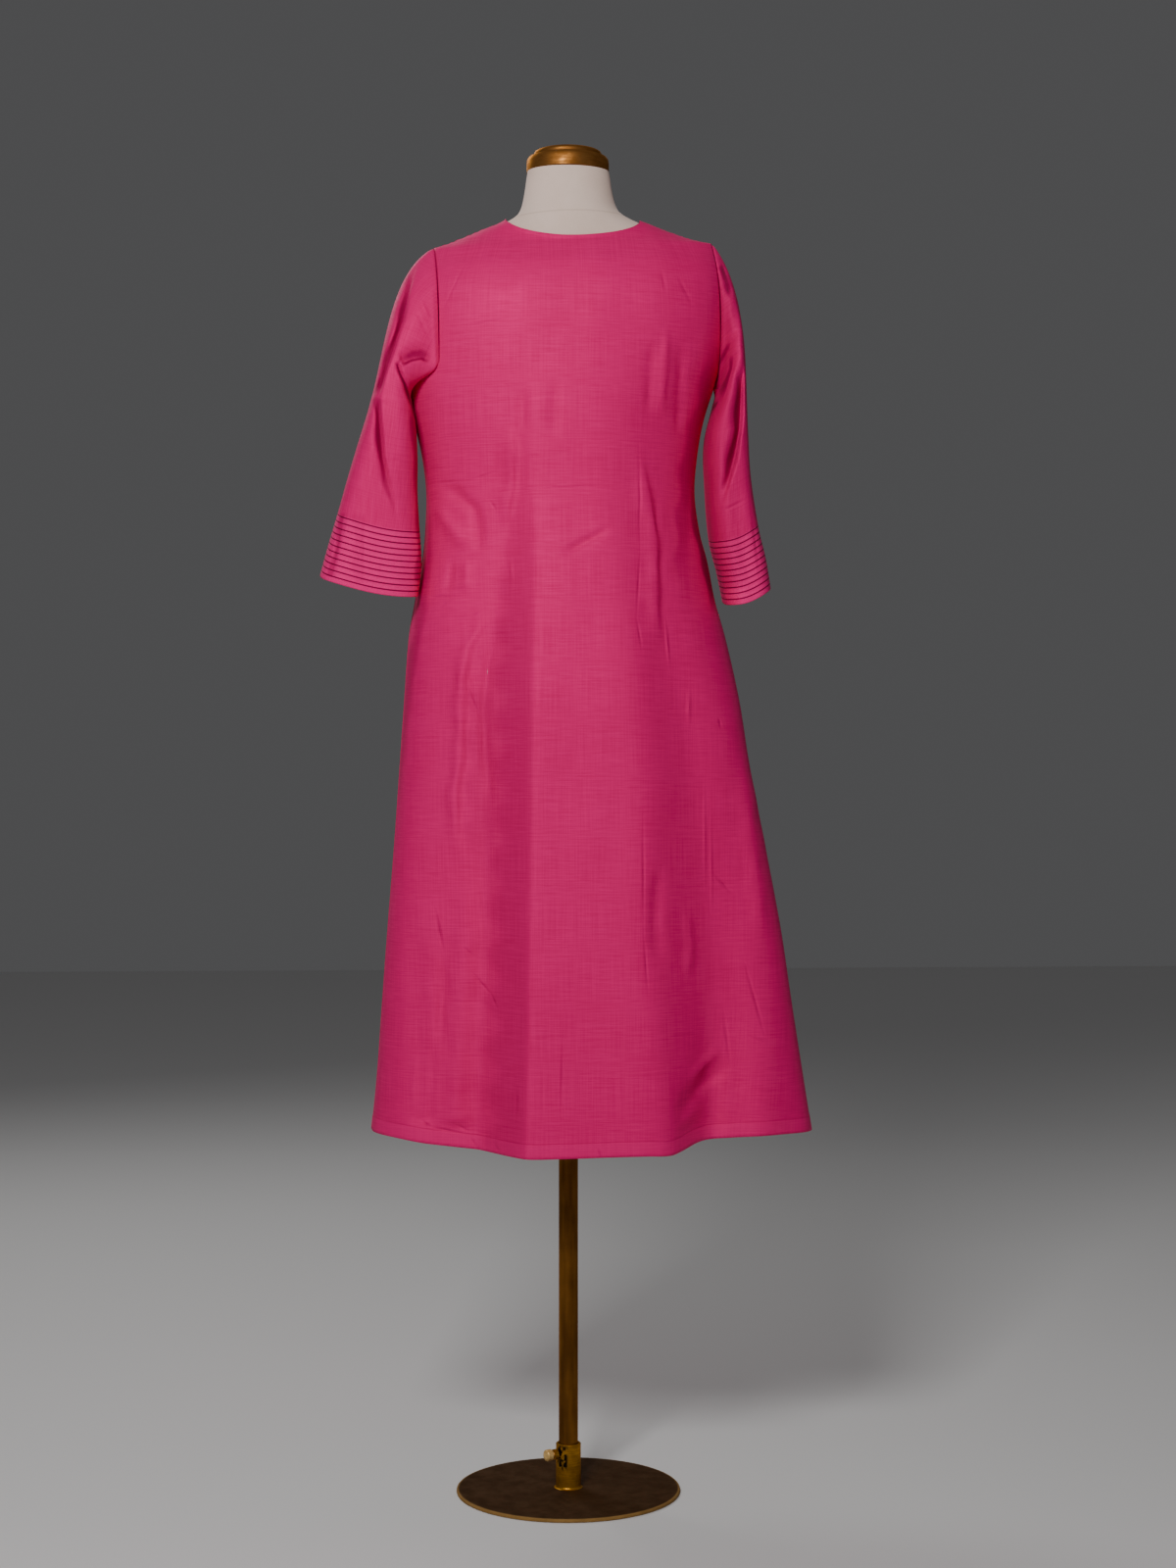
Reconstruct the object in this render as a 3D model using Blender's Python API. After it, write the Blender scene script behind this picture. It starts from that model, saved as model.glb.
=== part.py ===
"""A plain pintucked kurti worn on a limbless dress form, which turns on a round-based stand.

The garment's back faces -Y and its front +Y. The origin is the centre of the base plate's underside, and +Z is up.
Tables and named sizes are in millimetres, and every point is scaled to metres as its mesh is made.
"""

import math
from collections import namedtuple

import bmesh
import bpy
from mathutils import Vector

MM = 0.001

# Clearances and cloth
CLOTH = 1.5
SHARP_ANGLE = 40.0
SEAM_GAP = 0.3
ARMHOLE_GAP = 0.7
TOUCH_GAP = 0.3

# Stand
PLATE_RADIUS = 142.5
PLATE_THICKNESS = 4.5
PLATE_EDGE = 1.4
SOCKET_RADIUS = 15.9
SOCKET_BORE = 12.65
SOCKET_HEIGHT = 56.5
SOCKET_FOOT = 2.4
POLE_RADIUS = 12.2
POLE_TOP = 1010.0
BOSS_RADIUS = 6.4
BOSS_REACH = 22.5
SCREW_HEIGHT = 49.0
SCREW_RADIUS = 3.0
SCREW_CLEARANCE = 0.35
SCREW_AZIMUTH = 208.7
SCREW_HEAD = ((25.2, 4.6), (25.6, 6.6), (26.6, 7.3), (32.6, 7.3), (33.7, 6.4), (34.2, 4.4))

# Dress form
FORM_COLUMNS = 44
FORM_BASE = 870.0
FORM_EDGE = 7.0
FORM_STEP = 32.0
NECK_TOP = 1683.5
NECK_LEAN = 13.0
CAP_PROFILE = (
    (51.0, 0.0), (52.2, 1.6), (52.4, 12.6), (50.6, 16.2), (47.0, 17.2),
    (43.4, 17.6), (43.4, 19.6), (43.0, 21.6), (40.4, 23.8), (36.0, 24.4),
)
BORE_CLEARANCE = 0.4

# The form's sections: half width, depth behind and before the pole's axis, and how square the outline is.
FormRow = namedtuple("FormRow", "height width back front square")
FORM = (
    FormRow(870, 140, 84, 82, 2.2),
    FormRow(920, 152, 95, 90, 2.2),
    FormRow(980, 162, 106, 97, 2.2),
    FormRow(1040, 166, 111, 101, 2.2),
    FormRow(1090, 161, 108, 102, 2.2),
    FormRow(1160, 146, 97, 100, 2.15),
    FormRow(1220, 130, 84, 97, 2.1),
    FormRow(1271, 122, 77, 97, 2.1),
    FormRow(1320, 131, 84, 108, 2.15),
    FormRow(1370, 144, 94, 120, 2.2),
    FormRow(1410, 151, 98.5, 119, 2.2),
    FormRow(1450, 160, 100.2, 112.5, 2.2),
    FormRow(1490, 170, 99.8, 103.5, 2.25),
    FormRow(1521, 174, 95.0, 94.5, 2.25),
    FormRow(1549, 174, 84.0, 79.5, 2.1),
    FormRow(1566, 172, 73.5, 69.5, 1.9),
    FormRow(1576, 168, 66.4, 62.0, 1.78),
    FormRow(1583.4, 161, 61.2, 58.0, 1.68),
    FormRow(1589.2, 151, 58.9, 56.0, 1.62),
    FormRow(1594.8, 137.5, 57.5, 55, 1.6),
    FormRow(1599.6, 123.8, 56.4, 54.5, 1.6),
    FormRow(1608.4, 101.8, 55.0, 54, 1.62),
    FormRow(1613.4, 90.2, 54.8, 54.5, 1.7),
    FormRow(1618.9, 80.0, 53.6, 55, 1.8),
    FormRow(1626.2, 70.8, 51.4, 57, 1.92),
    FormRow(1634, 64.4, 49.0, 59.5, 2.0),
    FormRow(1643, 60.2, 46.6, 62, 2.0),
    FormRow(1656, 56.8, 43.4, 64, 2.0),
    FormRow(1671, 54.0, 40.6, 64.8, 2.0),
    FormRow(1683.5, 52.0, 39.0, 65.0, 2.0),
)

# The garment's sections: seam to pole's axis on each side, depth of back and front, and how square each side is.
BodyRow = namedtuple("BodyRow", "height left right back front left_square right_square")
BODY = (
    BodyRow(440, 252, 311, 126, 132, 2.0, 2.6),
    BodyRow(528, 243, 297, 127, 131, 2.0, 2.6),
    BodyRow(625, 236, 282, 126, 129, 2.0, 2.55),
    BodyRow(720, 229, 268, 124, 127, 2.0, 2.5),
    BodyRow(821, 221, 249, 122, 125, 2.0, 2.45),
    BodyRow(921, 214, 230, 120, 122, 2.0, 2.4),
    BodyRow(1007, 208, 217, 118, 119, 2.0, 2.3),
    BodyRow(1088, 202, 201, 114, 115, 2.1, 2.2),
    BodyRow(1136, 194, 190, 108, 112, 2.1, 2.1),
    BodyRow(1187, 184, 177, 101, 111, 2.1, 2.1),
    BodyRow(1220, 178, 168, 97, 112, 2.1, 2.1),
    BodyRow(1271, 175, 161, 94, 115, 2.1, 2.1),
    BodyRow(1317, 180, 164, 97, 122, 2.1, 2.1),
    BodyRow(1363, 188, 172, 101, 127, 2.1, 2.1),
    BodyRow(1408, 195, 186, 103, 124, 2.1, 2.1),
    BodyRow(1450, 197, 200, 103.0, 116, 2.2, 2.2),
    BodyRow(1490, 198, 205, 102.6, 106.5, 2.3, 2.3),
    BodyRow(1521, 197, 206, 97.8, 97.5, 2.3, 2.3),
    BodyRow(1551, 194, 204, 86.8, 82.3, 2.1, 2.1),
    BodyRow(1568, 191, 199, 76.3, 72.3, 1.9, 1.9),
    BodyRow(1578, 188, 196, 69.6, 67.3, 1.78, 1.78),
    BodyRow(1582.5, 186, 193, 66, 65, 1.7, 1.7),
    BodyRow(1586, 175, 177, 64.6, 64.4, 1.66, 1.66),
    BodyRow(1591.5, 156, 157, 63.0, 63.6, 1.62, 1.62),
    BodyRow(1597, 141, 141.5, 62.0, 62.6, 1.6, 1.6),
    BodyRow(1601.8, 127.5, 127.5, 61.2, 62, 1.62, 1.62),
    BodyRow(1610.6, 105.5, 105.5, 60, 61.6, 1.68, 1.68),
    BodyRow(1615.6, 92.3, 92.3, 59.4, 61.6, 1.74, 1.74),
    BodyRow(1621, 82, 82, 58, 61.6, 1.84, 1.84),
)

# Flat centre of each skirt panel, standing out between two soft risers: foot and crest on each side, and its lift.
LiftRow = namedtuple("LiftRow", "height left_foot left_crest right_crest right_foot lift")
BACK_LIFT = (
    LiftRow(440, -118, -66, 100, 140, 34),
    LiftRow(560, -115, -65, 92, 136, 31),
    LiftRow(700, -112, -64, 80, 130, 26),
    LiftRow(1000, -105, -62, 72, 122, 18),
    LiftRow(1271, -94, -60, 68, 112, 8),
    LiftRow(1420, -80, -58, 62, 95, 0),
)
FRONT_LIFT = (
    LiftRow(440, -136, -88, 74, 128, 30),
    LiftRow(560, -132, -86, 74, 124, 27),
    LiftRow(700, -128, -84, 74, 120, 22),
    LiftRow(1000, -122, -82, 74, 116, 12),
    LiftRow(1200, -118, -80, 74, 112, 3),
    LiftRow(1300, -116, -80, 74, 110, 0),
)

# Soft flutes of the skirt: where along the width they stand, their half width, rise at the hem and upper end.
Flute = namedtuple("Flute", "centre reach rise top")
BACK_FLUTES = (
    Flute(-196, 44, 6, 900),
    Flute(168, 30, -9, 640),
    Flute(238, 46, 7, 820),
)
FRONT_FLUTES = (
    Flute(-205, 46, 7, 860),
    Flute(-20, 60, -8, 760),
    Flute(200, 50, 8, 900),
)

# The shoulders sit a little askew: rise per millimetre to the right, and the heights over which it comes and goes.
SHOULDER_TILT = 0.036
TILT_HEIGHTS = (1410.0, 1560.0, 1628.0, 1676.0)

# Cut edges
HEM_LEVEL = 446.0
UNDERARM = 1408.0
SHOULDER_TIP = 1582.5
TIP_LEFT = 171.0
TIP_RIGHT = 174.0
CHEST_LEFT = 168.0
CHEST_RIGHT = 184.0
NECK_LEFT = 81.0
NECK_RIGHT = 91.0
BACK_NECK_DROP = 31.0
FRONT_NECK_DROP = 150.0

# The cut of the two hems: how high they hang at each distance from the middle.
HemRow = namedtuple("HemRow", "x height")
BACK_HEM = (
    HemRow(-250, 464), HemRow(-215, 461), HemRow(-177, 456), HemRow(-114, 450), HemRow(-60, 446), HemRow(-16, 446.5),
    HemRow(86, 448.5), HemRow(118, 448), HemRow(135, 451.5), HemRow(154, 457.5), HemRow(170, 460), HemRow(242, 464),
    HemRow(310, 464),
)
FRONT_HEM = (
    HemRow(-250, 464), HemRow(-150, 457), HemRow(0, 452), HemRow(180, 457), HemRow(310, 464),
)

# Grid of each panel: columns across, rows from hem to underarm, the armhole's rows as shares of its height, how many
# of them belong to the underarm's curve and how wide it flares, and how the neckline's columns crowd at its corners.
COLUMNS = 28
SKIRT_ROWS = 17
ARMHOLE_SHARES = (0.0, 0.03, 0.12, 0.25, 0.41, 0.57, 0.71, 0.83, 0.915, 0.97, 1.0)
UNDERARM_ROWS = 3
UNDERARM_FLARE = 0.2
LIFT_RAMP = 2.0
NECK_SHARE = 0.5
NECK_CROWDING = 1.3

# The sleeves' sections: inner and outer edge from the axis, back and front edge, rise outward and droop of the back.
SleeveRow = namedtuple("SleeveRow", "height inner outer back front tilt droop")
LEFT_SLEEVE = (
    SleeveRow(1147, 191, 314, -63, 12, 20, 9),
    SleeveRow(1188, 187, 305, -65, 14, 19, 7),
    SleeveRow(1240, 190, 290, -69, 22, 16, 4),
    SleeveRow(1274, 192, 281, -73, 30, 13, 2),
    SleeveRow(1319, 195, 268, -78, 42, 10, 0),
    SleeveRow(1360, 199, 256, -80, 52, 6, 0),
    SleeveRow(1388, 203, 249, -78, 58, 2, 0),
)
RIGHT_SLEEVE = (
    SleeveRow(1143, 198, 254, -82, 58, 24, 13),
    SleeveRow(1180, 190, 248, -81, 57, 21, 10),
    SleeveRow(1219, 180, 239, -80, 56, 15, 6),
    SleeveRow(1286, 176, 230, -78, 56, 8, 2),
    SleeveRow(1340, 178, 227, -76, 58, 4, 0),
    SleeveRow(1388, 192, 227, -74, 60, 0, 0),
)
CAP_ROWS = 6
TUBE_ROWS = 11
CAP_PULL = 0.3

# The way a sleeve leaves its armhole: outward at the shoulder and at the underarm, to the sides, and its fall.
LEAVE_TOP = 0.88
LEAVE_UNDER = 0.5
LEAVE_ASIDE = 0.3
LEAVE_FALL = 1.3

# Colours as linear values, with roughness and metallic
FUCHSIA = ((0.62, 0.032, 0.14, 1.0), 0.5, 0.0)
LINEN_WHITE = ((0.58, 0.50, 0.45, 1.0), 0.85, 0.0)
GOLDEN_BRONZE = ((0.36, 0.14, 0.02, 1.0), 0.4, 0.9)
DARK_BRONZE = ((0.05, 0.024, 0.008, 1.0), 0.5, 0.8)
POLE_BRONZE = ((0.10, 0.045, 0.012, 1.0), 0.45, 0.8)
BRASS = ((0.65, 0.42, 0.14, 1.0), 0.25, 1.0)


def clear_scene():
    for thing in list(bpy.data.objects):
        bpy.data.objects.remove(thing, do_unlink=True)


def make_material(name, finish):
    colour, roughness, metallic = finish
    material = bpy.data.materials.new(name)
    material.use_nodes = True
    shader = material.node_tree.nodes["Principled BSDF"]
    shader.inputs["Base Color"].default_value = colour
    shader.inputs["Roughness"].default_value = roughness
    shader.inputs["Metallic"].default_value = metallic
    material.diffuse_color = colour
    return material


def make_object(name, bm, finish):
    """Turns a bmesh in millimetres into a smooth-shaded object in metres."""
    bmesh.ops.recalc_face_normals(bm, faces=bm.faces)
    bmesh.ops.scale(bm, vec=(MM, MM, MM), verts=bm.verts)
    mesh = bpy.data.meshes.new(name)
    bm.to_mesh(mesh)
    bm.free()
    mesh.shade_smooth()
    mesh.set_sharp_from_angle(angle=math.radians(SHARP_ANGLE))
    mesh.materials.append(make_material(name, finish))
    thing = bpy.data.objects.new(name, mesh)
    bpy.context.scene.collection.objects.link(thing)
    return thing


def eased(table, place):
    """The row of a table at this value of its first column, curving smoothly through the rows that are given."""
    low = 0
    while low < len(table) - 2 and place > table[low + 1][0]:
        low += 1
    start, end = table[low], table[low + 1]
    before = table[max(low - 1, 0)]
    after = table[min(low + 2, len(table) - 1)]
    gap = end[0] - start[0]
    t = min(max((place - start[0]) / gap, 0.0), 1.0)
    values = []
    for past, first, last, next_one in zip(before, start, end, after):
        slope_in = (last - past) / (end[0] - before[0]) * gap
        slope_out = (next_one - first) / (after[0] - start[0]) * gap
        values.append(
            (2 * t**3 - 3 * t**2 + 1) * first
            + (t**3 - 2 * t**2 + t) * slope_in
            + (3 * t**2 - 2 * t**3) * last
            + (t**3 - t**2) * slope_out
        )
    return type(start)(*values)


def smooth_step(low, high, value):
    t = min(max((value - low) / (high - low), 0.0), 1.0)
    return t * t * (3 - 2 * t)


def bulge(share, square):
    """Depth of a rounded outline, from 1 at its middle to 0 at its end, at a share of its half width."""
    return max(1 - min(abs(share), 1.0) ** square, 0.0) ** (1 / square)


def settle(point):
    """Tilts the shoulders: their right side sits higher than their left."""
    start, full, fade, end = TILT_HEIGHTS
    amount = smooth_step(start, full, point.z) * (1 - smooth_step(fade, end, point.z))
    point.z += point.x * SHOULDER_TILT * amount
    return point


# ---- the cloth body's surface -------------------------------------------------------------------------------------


def half_width(row, x):
    return row.left if x < 0 else row.right


def skirt_lift(side, x, height):
    """How far the panel stands out from its rounded section: the flat centre and the soft flutes below it."""
    lifts, flutes = (BACK_LIFT, BACK_FLUTES) if side < 0 else (FRONT_LIFT, FRONT_FLUTES)
    row = eased(lifts, height)
    rise = smooth_step(row.left_foot, row.left_crest, x)
    fall = 1 - smooth_step(row.right_crest, row.right_foot, x)
    total = max(row.lift, 0.0) * rise * fall
    for flute in flutes:
        if height < flute.top and abs(x - flute.centre) < flute.reach:
            fade = smooth_step(flute.top, HEM_LEVEL, height)
            total += flute.rise * fade * math.cos((x - flute.centre) / flute.reach * math.pi / 2) ** 2
    return total


def surface(side, x, height):
    """A point of the garment's outer face: side -1 is its back and +1 its front."""
    row = eased(BODY, height)
    share = abs(x) / half_width(row, x)
    square = row.left_square if x < 0 else row.right_square
    deep = row.back if side < 0 else row.front
    round_off = bulge(share, square)
    depth = deep * round_off + skirt_lift(side, x, height) * min(round_off * LIFT_RAMP, 1.0)
    return settle(Vector((x, side * depth, height)))


def shoulder_height(x):
    """The shoulder line's height over x: where the sections are as wide as x."""
    low, high = SHOULDER_TIP, BODY[-1].height
    for _ in range(40):
        middle = (low + high) / 2
        if half_width(eased(BODY, middle), x) > abs(x):
            low = middle
        else:
            high = middle
    return low


def top_edge(side, across):
    """x and height of the panel's upper edge: the neckline in the middle and a shoulder seam at each end."""
    tip, corner = (TIP_LEFT, NECK_LEFT) if across < 0 else (TIP_RIGHT, NECK_RIGHT)
    share = abs(across)
    sign = -1 if across < 0 else 1
    if share >= NECK_SHARE:
        x = corner + (tip - corner) * (share - NECK_SHARE) / (1 - NECK_SHARE)
        return sign * x, shoulder_height(sign * x)
    depth = BACK_NECK_DROP if side < 0 else FRONT_NECK_DROP
    drop = depth * (1 - math.cos(math.pi * (1 - share / NECK_SHARE) ** NECK_CROWDING)) / 2
    x = sign * corner * math.sqrt(1 - (drop / depth) ** 2)
    left, right = shoulder_height(-NECK_LEFT), shoulder_height(NECK_RIGHT)
    return x, left + (right - left) * (x + NECK_LEFT) / (NECK_LEFT + NECK_RIGHT) - drop


def armhole_x(sign, share):
    """The armhole edge's distance from the axis, from the underarm (0) to the shoulder tip (1)."""
    chest, tip = (CHEST_LEFT, TIP_LEFT) if sign < 0 else (CHEST_RIGHT, TIP_RIGHT)
    row = eased(BODY, UNDERARM)
    under = row.left if sign < 0 else row.right
    return chest + (under - chest) * max(1 - share / UNDERARM_FLARE, 0.0) ** 2 + (tip - chest) * share**3


def hem_height(side, across):
    x = half_width(BODY[0], across) * math.sin(across * math.pi / 2)
    return eased(BACK_HEM if side < 0 else FRONT_HEM, x).height


def panel_point(side, across, row_number):
    """A point of a panel's outer face by its column, -1 to 1, and its row, from the hem up."""
    sign = -1 if across < 0 else 1
    around = math.sin(across * math.pi / 2)
    if row_number <= SKIRT_ROWS:
        start = hem_height(side, across)
        height = start + (UNDERARM - start) * row_number / SKIRT_ROWS
        x = half_width(eased(BODY, height), across) * around
        return surface(side, x, height)
    share = ARMHOLE_SHARES[row_number - SKIRT_ROWS]
    top_x, top_height = top_edge(side, across)
    tip = TIP_LEFT if sign < 0 else TIP_RIGHT
    slide = smooth_step(0, 1, share)
    x = armhole_x(sign, share) * (around * (1 - slide) + top_x / tip * slide)
    return surface(side, x, UNDERARM + (top_height - UNDERARM) * share)


def panel_grid(side):
    rows = SKIRT_ROWS + len(ARMHOLE_SHARES)
    grid = []
    for row in range(rows):
        grid.append([panel_point(side, 2 * column / COLUMNS - 1, row) for column in range(COLUMNS + 1)])
    return grid


def grid_normals(grid, around=False):
    """Normals of a grid of points, row by row, to the left of a walk along the columns' direction seen from outside."""
    last_row, last_column = len(grid) - 1, len(grid[0]) - 1
    count = len(grid[0])
    normals = []
    for r, points in enumerate(grid):
        line = []
        for c in range(count):
            if around:
                along = points[(c + 1) % count] - points[(c - 1) % count]
            else:
                along = points[min(c + 1, last_column)] - points[max(c - 1, 0)]
            up = grid[min(r + 1, last_row)][c] - grid[max(r - 1, 0)][c]
            line.append(along.cross(up).normalized())
        normals.append(line)
    return normals


# ---- seams between the body and the sleeves -----------------------------------------------------------------------

ArmholePoint = namedtuple("ArmholePoint", "edge outward mitre")


def ring_angle(number):
    return 2 * math.pi * number / (2 * (len(ARMHOLE_SHARES) - 1))


def sleeve_start(sign, angle):
    """The way a sleeve leaves its armhole: outward, to its own side of the body, and down."""
    outward = (LEAVE_TOP + LEAVE_UNDER) / 2 + (LEAVE_TOP - LEAVE_UNDER) / 2 * math.cos(angle)
    return Vector((outward * sign, -LEAVE_ASIDE * math.sin(angle), outward - LEAVE_FALL)).normalized()


def armhole_ring(sign, grids):
    """The armhole's edge, from the shoulder tip down the back and up the front, with its mitre and way out."""
    last = len(ARMHOLE_SHARES) - 1
    column = 0 if sign < 0 else COLUMNS
    beside = column + 1 if sign < 0 else column - 1
    order = [(-1, SKIRT_ROWS + last - step) for step in range(last + 1)]
    order += [(1, SKIRT_ROWS + step) for step in range(1, last)]
    edges = [grids[side][row][column] for side, row in order]
    ring = []
    for number, (side, row) in enumerate(order):
        edge = edges[number].copy()
        if row in (SKIRT_ROWS, SKIRT_ROWS + last):
            edge.y = 0.0
        inward = grids[side][row][beside] - edge
        if row == SKIRT_ROWS:
            inward = grids[side][row - 1][column] - edge
        elif row <= SKIRT_ROWS + UNDERARM_ROWS:
            inward = grids[side][SKIRT_ROWS - 1][beside] - edge
        outward = (sleeve_start(sign, ring_angle(number)) - inward.normalized()).normalized()
        along = edges[(number + 1) % len(edges)] - edges[number - 1]
        mitre = outward.cross(along).normalized() * -sign
        ring.append(ArmholePoint(edge, outward, mitre))
    return ring


def make_panel(name, side, grids, rings):
    """Front or back: one wall from hem to neckline, its inner face drawn in along the normals."""
    outer = grids[side]
    normals = grid_normals(outer)
    inner = []
    for points, line in zip(outer, normals):
        inner.append([point + normal * CLOTH * side for point, normal in zip(points, line)])
    last = len(ARMHOLE_SHARES) - 1
    for sign, column in ((-1, 0), (1, COLUMNS)):
        ring = rings[sign]
        for share_number in range(last + 1):
            step = last - share_number if side < 0 else last + share_number
            point = ring[step % len(ring)]
            inner[SKIRT_ROWS + share_number][column] = point.edge - point.mitre * CLOTH
    for sheet in (outer, inner):
        for points in sheet:
            for point in points:
                point.y = side * max(side * point.y, SEAM_GAP / 2)
    return make_wall(name, outer, inner, False)


def make_wall(name, outer, inner, around):
    """A closed cloth wall from two equal grids of points: its outer and its inner face, joined all along their rims."""
    bm = bmesh.new()
    rows, columns = len(outer), len(outer[0])
    sheets = [[[bm.verts.new(point) for point in line] for line in sheet] for sheet in (outer, inner)]
    spans = columns if around else columns - 1
    for row in range(rows - 1):
        for column in range(spans):
            after = (column + 1) % columns
            for sheet in sheets:
                bm.faces.new((sheet[row][column], sheet[row][after], sheet[row + 1][after], sheet[row + 1][column]))
    rims = [[(row, column) for column in range(columns)] for row in (0, rows - 1)]
    if around:
        rims = [rim + rim[:1] for rim in rims]
    else:
        rims += [[(row, column) for row in range(rows)] for column in (0, columns - 1)]
    for rim in rims:
        for (row, column), (next_row, next_column) in zip(rim, rim[1:]):
            corners = [sheet[row][column] for sheet in sheets]
            corners += [sheet[next_row][next_column] for sheet in reversed(sheets)]
            bm.faces.new(corners)
    return make_object(name, bm, FUCHSIA)


# ---- sleeves --------------------------------------------------------------------------------------------------------


def tube_point(sign, table, height, angle):
    """A point of the sleeve's oval section: angle 0 is its outer edge, and a quarter turn on is its back."""
    row = eased(table, height)
    middle = (row.inner + row.outer) / 2
    reach = (row.outer - row.inner) / 2
    x = sign * (middle + reach * math.cos(angle))
    y = (row.back + row.front) / 2 - (row.front - row.back) / 2 * math.sin(angle)
    return Vector((x, y, height + row.tilt / 2 * math.cos(angle) - row.droop * math.sin(angle)))


def cap_point(start, end, leave, arrive, t):
    """A point of the sleeve head, on a curve from the armhole to the tube below the underarm."""
    pull = (end - start).length * CAP_PULL
    first = start + leave * pull
    second = end + arrive * pull
    return (1 - t) ** 3 * start + 3 * (1 - t) ** 2 * t * first + 3 * (1 - t) * t**2 * second + t**3 * end


def make_sleeve(name, sign, table, ring):
    columns = len(ring)
    cuff, top = table[0].height, table[-1].height
    heights = [top - (top - cuff) * number / TUBE_ROWS for number in range(TUBE_ROWS + 1)]
    tube = []
    for height in heights:
        tube.append([tube_point(sign, table, height, ring_angle(number)) for number in range(columns)])
    outer = [[point.edge + point.outward * ARMHOLE_GAP for point in ring]]
    for row in range(1, CAP_ROWS):
        line = []
        for number, point in enumerate(ring):
            arrive = (tube[0][number] - tube[1][number]).normalized()
            leave = sleeve_start(sign, ring_angle(number))
            line.append(cap_point(outer[0][number], tube[0][number], leave, arrive, row / CAP_ROWS))
        outer.append(line)
    outer += tube
    normals = grid_normals(outer, around=True)
    inner = []
    for points, line in zip(outer, normals):
        inner.append([point - normal * CLOTH * sign for point, normal in zip(points, line)])
    inner[0] = [point.edge + point.outward * ARMHOLE_GAP - point.mitre * CLOTH for point in ring]
    return make_wall(name, outer, inner, True)


# ---- dress form -----------------------------------------------------------------------------------------------------


def form_ring(row, height):
    points = []
    for number in range(FORM_COLUMNS):
        angle = 2 * math.pi * number / FORM_COLUMNS
        across, along = math.cos(angle), math.sin(angle)
        x = math.copysign(abs(across) ** (2 / row.square), across) * row.width
        depth = row.front if along > 0 else row.back
        y = math.copysign(abs(along) ** (2 / row.square), along) * depth
        points.append(settle(Vector((x, y, height))))
    return points


def round_ring(radius, height, centre_y=0.0):
    points = []
    for number in range(FORM_COLUMNS):
        angle = 2 * math.pi * number / FORM_COLUMNS
        points.append(Vector((radius * math.cos(angle), centre_y + radius * math.sin(angle), height)))
    return points


def make_lofted(name, rings, finish):
    """A closed solid through rings of equal counts, capped at its first and last ring."""
    bm = bmesh.new()
    loops = [[bm.verts.new(point) for point in ring] for ring in rings]
    count = len(loops[0])
    for lower, upper in zip(loops, loops[1:]):
        for number in range(count):
            after = (number + 1) % count
            bm.faces.new((lower[number], lower[after], upper[after], upper[number]))
    bm.faces.new(loops[0])
    bm.faces.new(loops[-1])
    return make_object(name, bm, finish)


def make_form():
    bore = POLE_RADIUS + BORE_CLEARANCE
    rings = [round_ring(bore, POLE_TOP + TOUCH_GAP), round_ring(bore, FORM_BASE)]
    bottom = FORM[0]
    for turn in (0, 30, 60, 90):
        inset = FORM_EDGE * (1 - math.sin(math.radians(turn)))
        height = FORM_BASE + FORM_EDGE * (1 - math.cos(math.radians(turn)))
        narrower = bottom._replace(
            width=bottom.width - inset,
            back=bottom.back - inset,
            front=bottom.front - inset,
        )
        rings.append(form_ring(narrower, height))
    for start, end in zip(FORM, FORM[1:]):
        steps = max(round((end.height - start.height) / FORM_STEP), 1)
        for step in range(1, steps + 1):
            height = start.height + (end.height - start.height) * step / steps
            rings.append(form_ring(eased(FORM, height), height))
    return make_lofted("form_torso", rings, LINEN_WHITE)


def make_turned(name, profile, finish, centre_y=0.0, base=0.0, segments=FORM_COLUMNS):
    """A solid of revolution about a vertical line: profile points are radius and height, and its ends are capped."""
    bm = bmesh.new()
    corners = [bm.verts.new((radius, 0, base + height)) for radius, height in profile]
    edges = [bm.edges.new(pair) for pair in zip(corners, corners[1:])]
    bmesh.ops.spin(
        bm,
        geom=corners + edges,
        cent=(0, 0, 0),
        axis=(0, 0, 1),
        dvec=(0, 0, 0),
        angle=2 * math.pi,
        steps=segments,
        use_merge=True,
    )
    bmesh.ops.remove_doubles(bm, verts=bm.verts, dist=0.001)
    bmesh.ops.holes_fill(bm, edges=[edge for edge in bm.edges if edge.is_boundary])
    bmesh.ops.translate(bm, vec=(0, centre_y, 0), verts=bm.verts)
    return make_object(name, bm, finish)


# ---- stand ----------------------------------------------------------------------------------------------------------


def make_plate():
    edge = PLATE_EDGE
    profile = (
        (PLATE_RADIUS - edge, 0.0),
        (PLATE_RADIUS, edge * 0.7),
        (PLATE_RADIUS, PLATE_THICKNESS - edge),
        (PLATE_RADIUS - edge * 0.4, PLATE_THICKNESS - edge * 0.3),
        (PLATE_RADIUS - edge, PLATE_THICKNESS),
    )
    return make_turned("base_plate", profile, DARK_BRONZE, segments=72)


def make_ring_solid(name, profile, finish, segments=FORM_COLUMNS):
    """A turned solid with a hole through it: its profile is a closed outline of radius and height."""
    return make_turned(name, tuple(profile) + (profile[0],), finish, segments=segments)


def turn_along_screw(bm):
    """Turns a bmesh that stands on the origin along +Z so that it points the way of the clamp screw."""
    azimuth = math.radians(SCREW_AZIMUTH)
    direction = Vector((math.cos(azimuth), math.sin(azimuth), 0))
    turn = Vector((0, 0, 1)).rotation_difference(direction).to_matrix()
    bmesh.ops.rotate(bm, cent=(0, 0, 0), matrix=turn, verts=bm.verts)


def make_cutter(name, radius, start, end):
    bm = bmesh.new()
    bmesh.ops.create_cone(bm, cap_ends=True, segments=24, radius1=radius, radius2=radius, depth=end - start)
    bmesh.ops.translate(bm, vec=(0, 0, (start + end) / 2), verts=bm.verts)
    turn_along_screw(bm)
    cutter = make_object(name, bm, BRASS)
    cutter.location.z = SCREW_HEIGHT * MM
    cutter.hide_render = True
    cutter.display_type = "WIRE"
    return cutter


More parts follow.
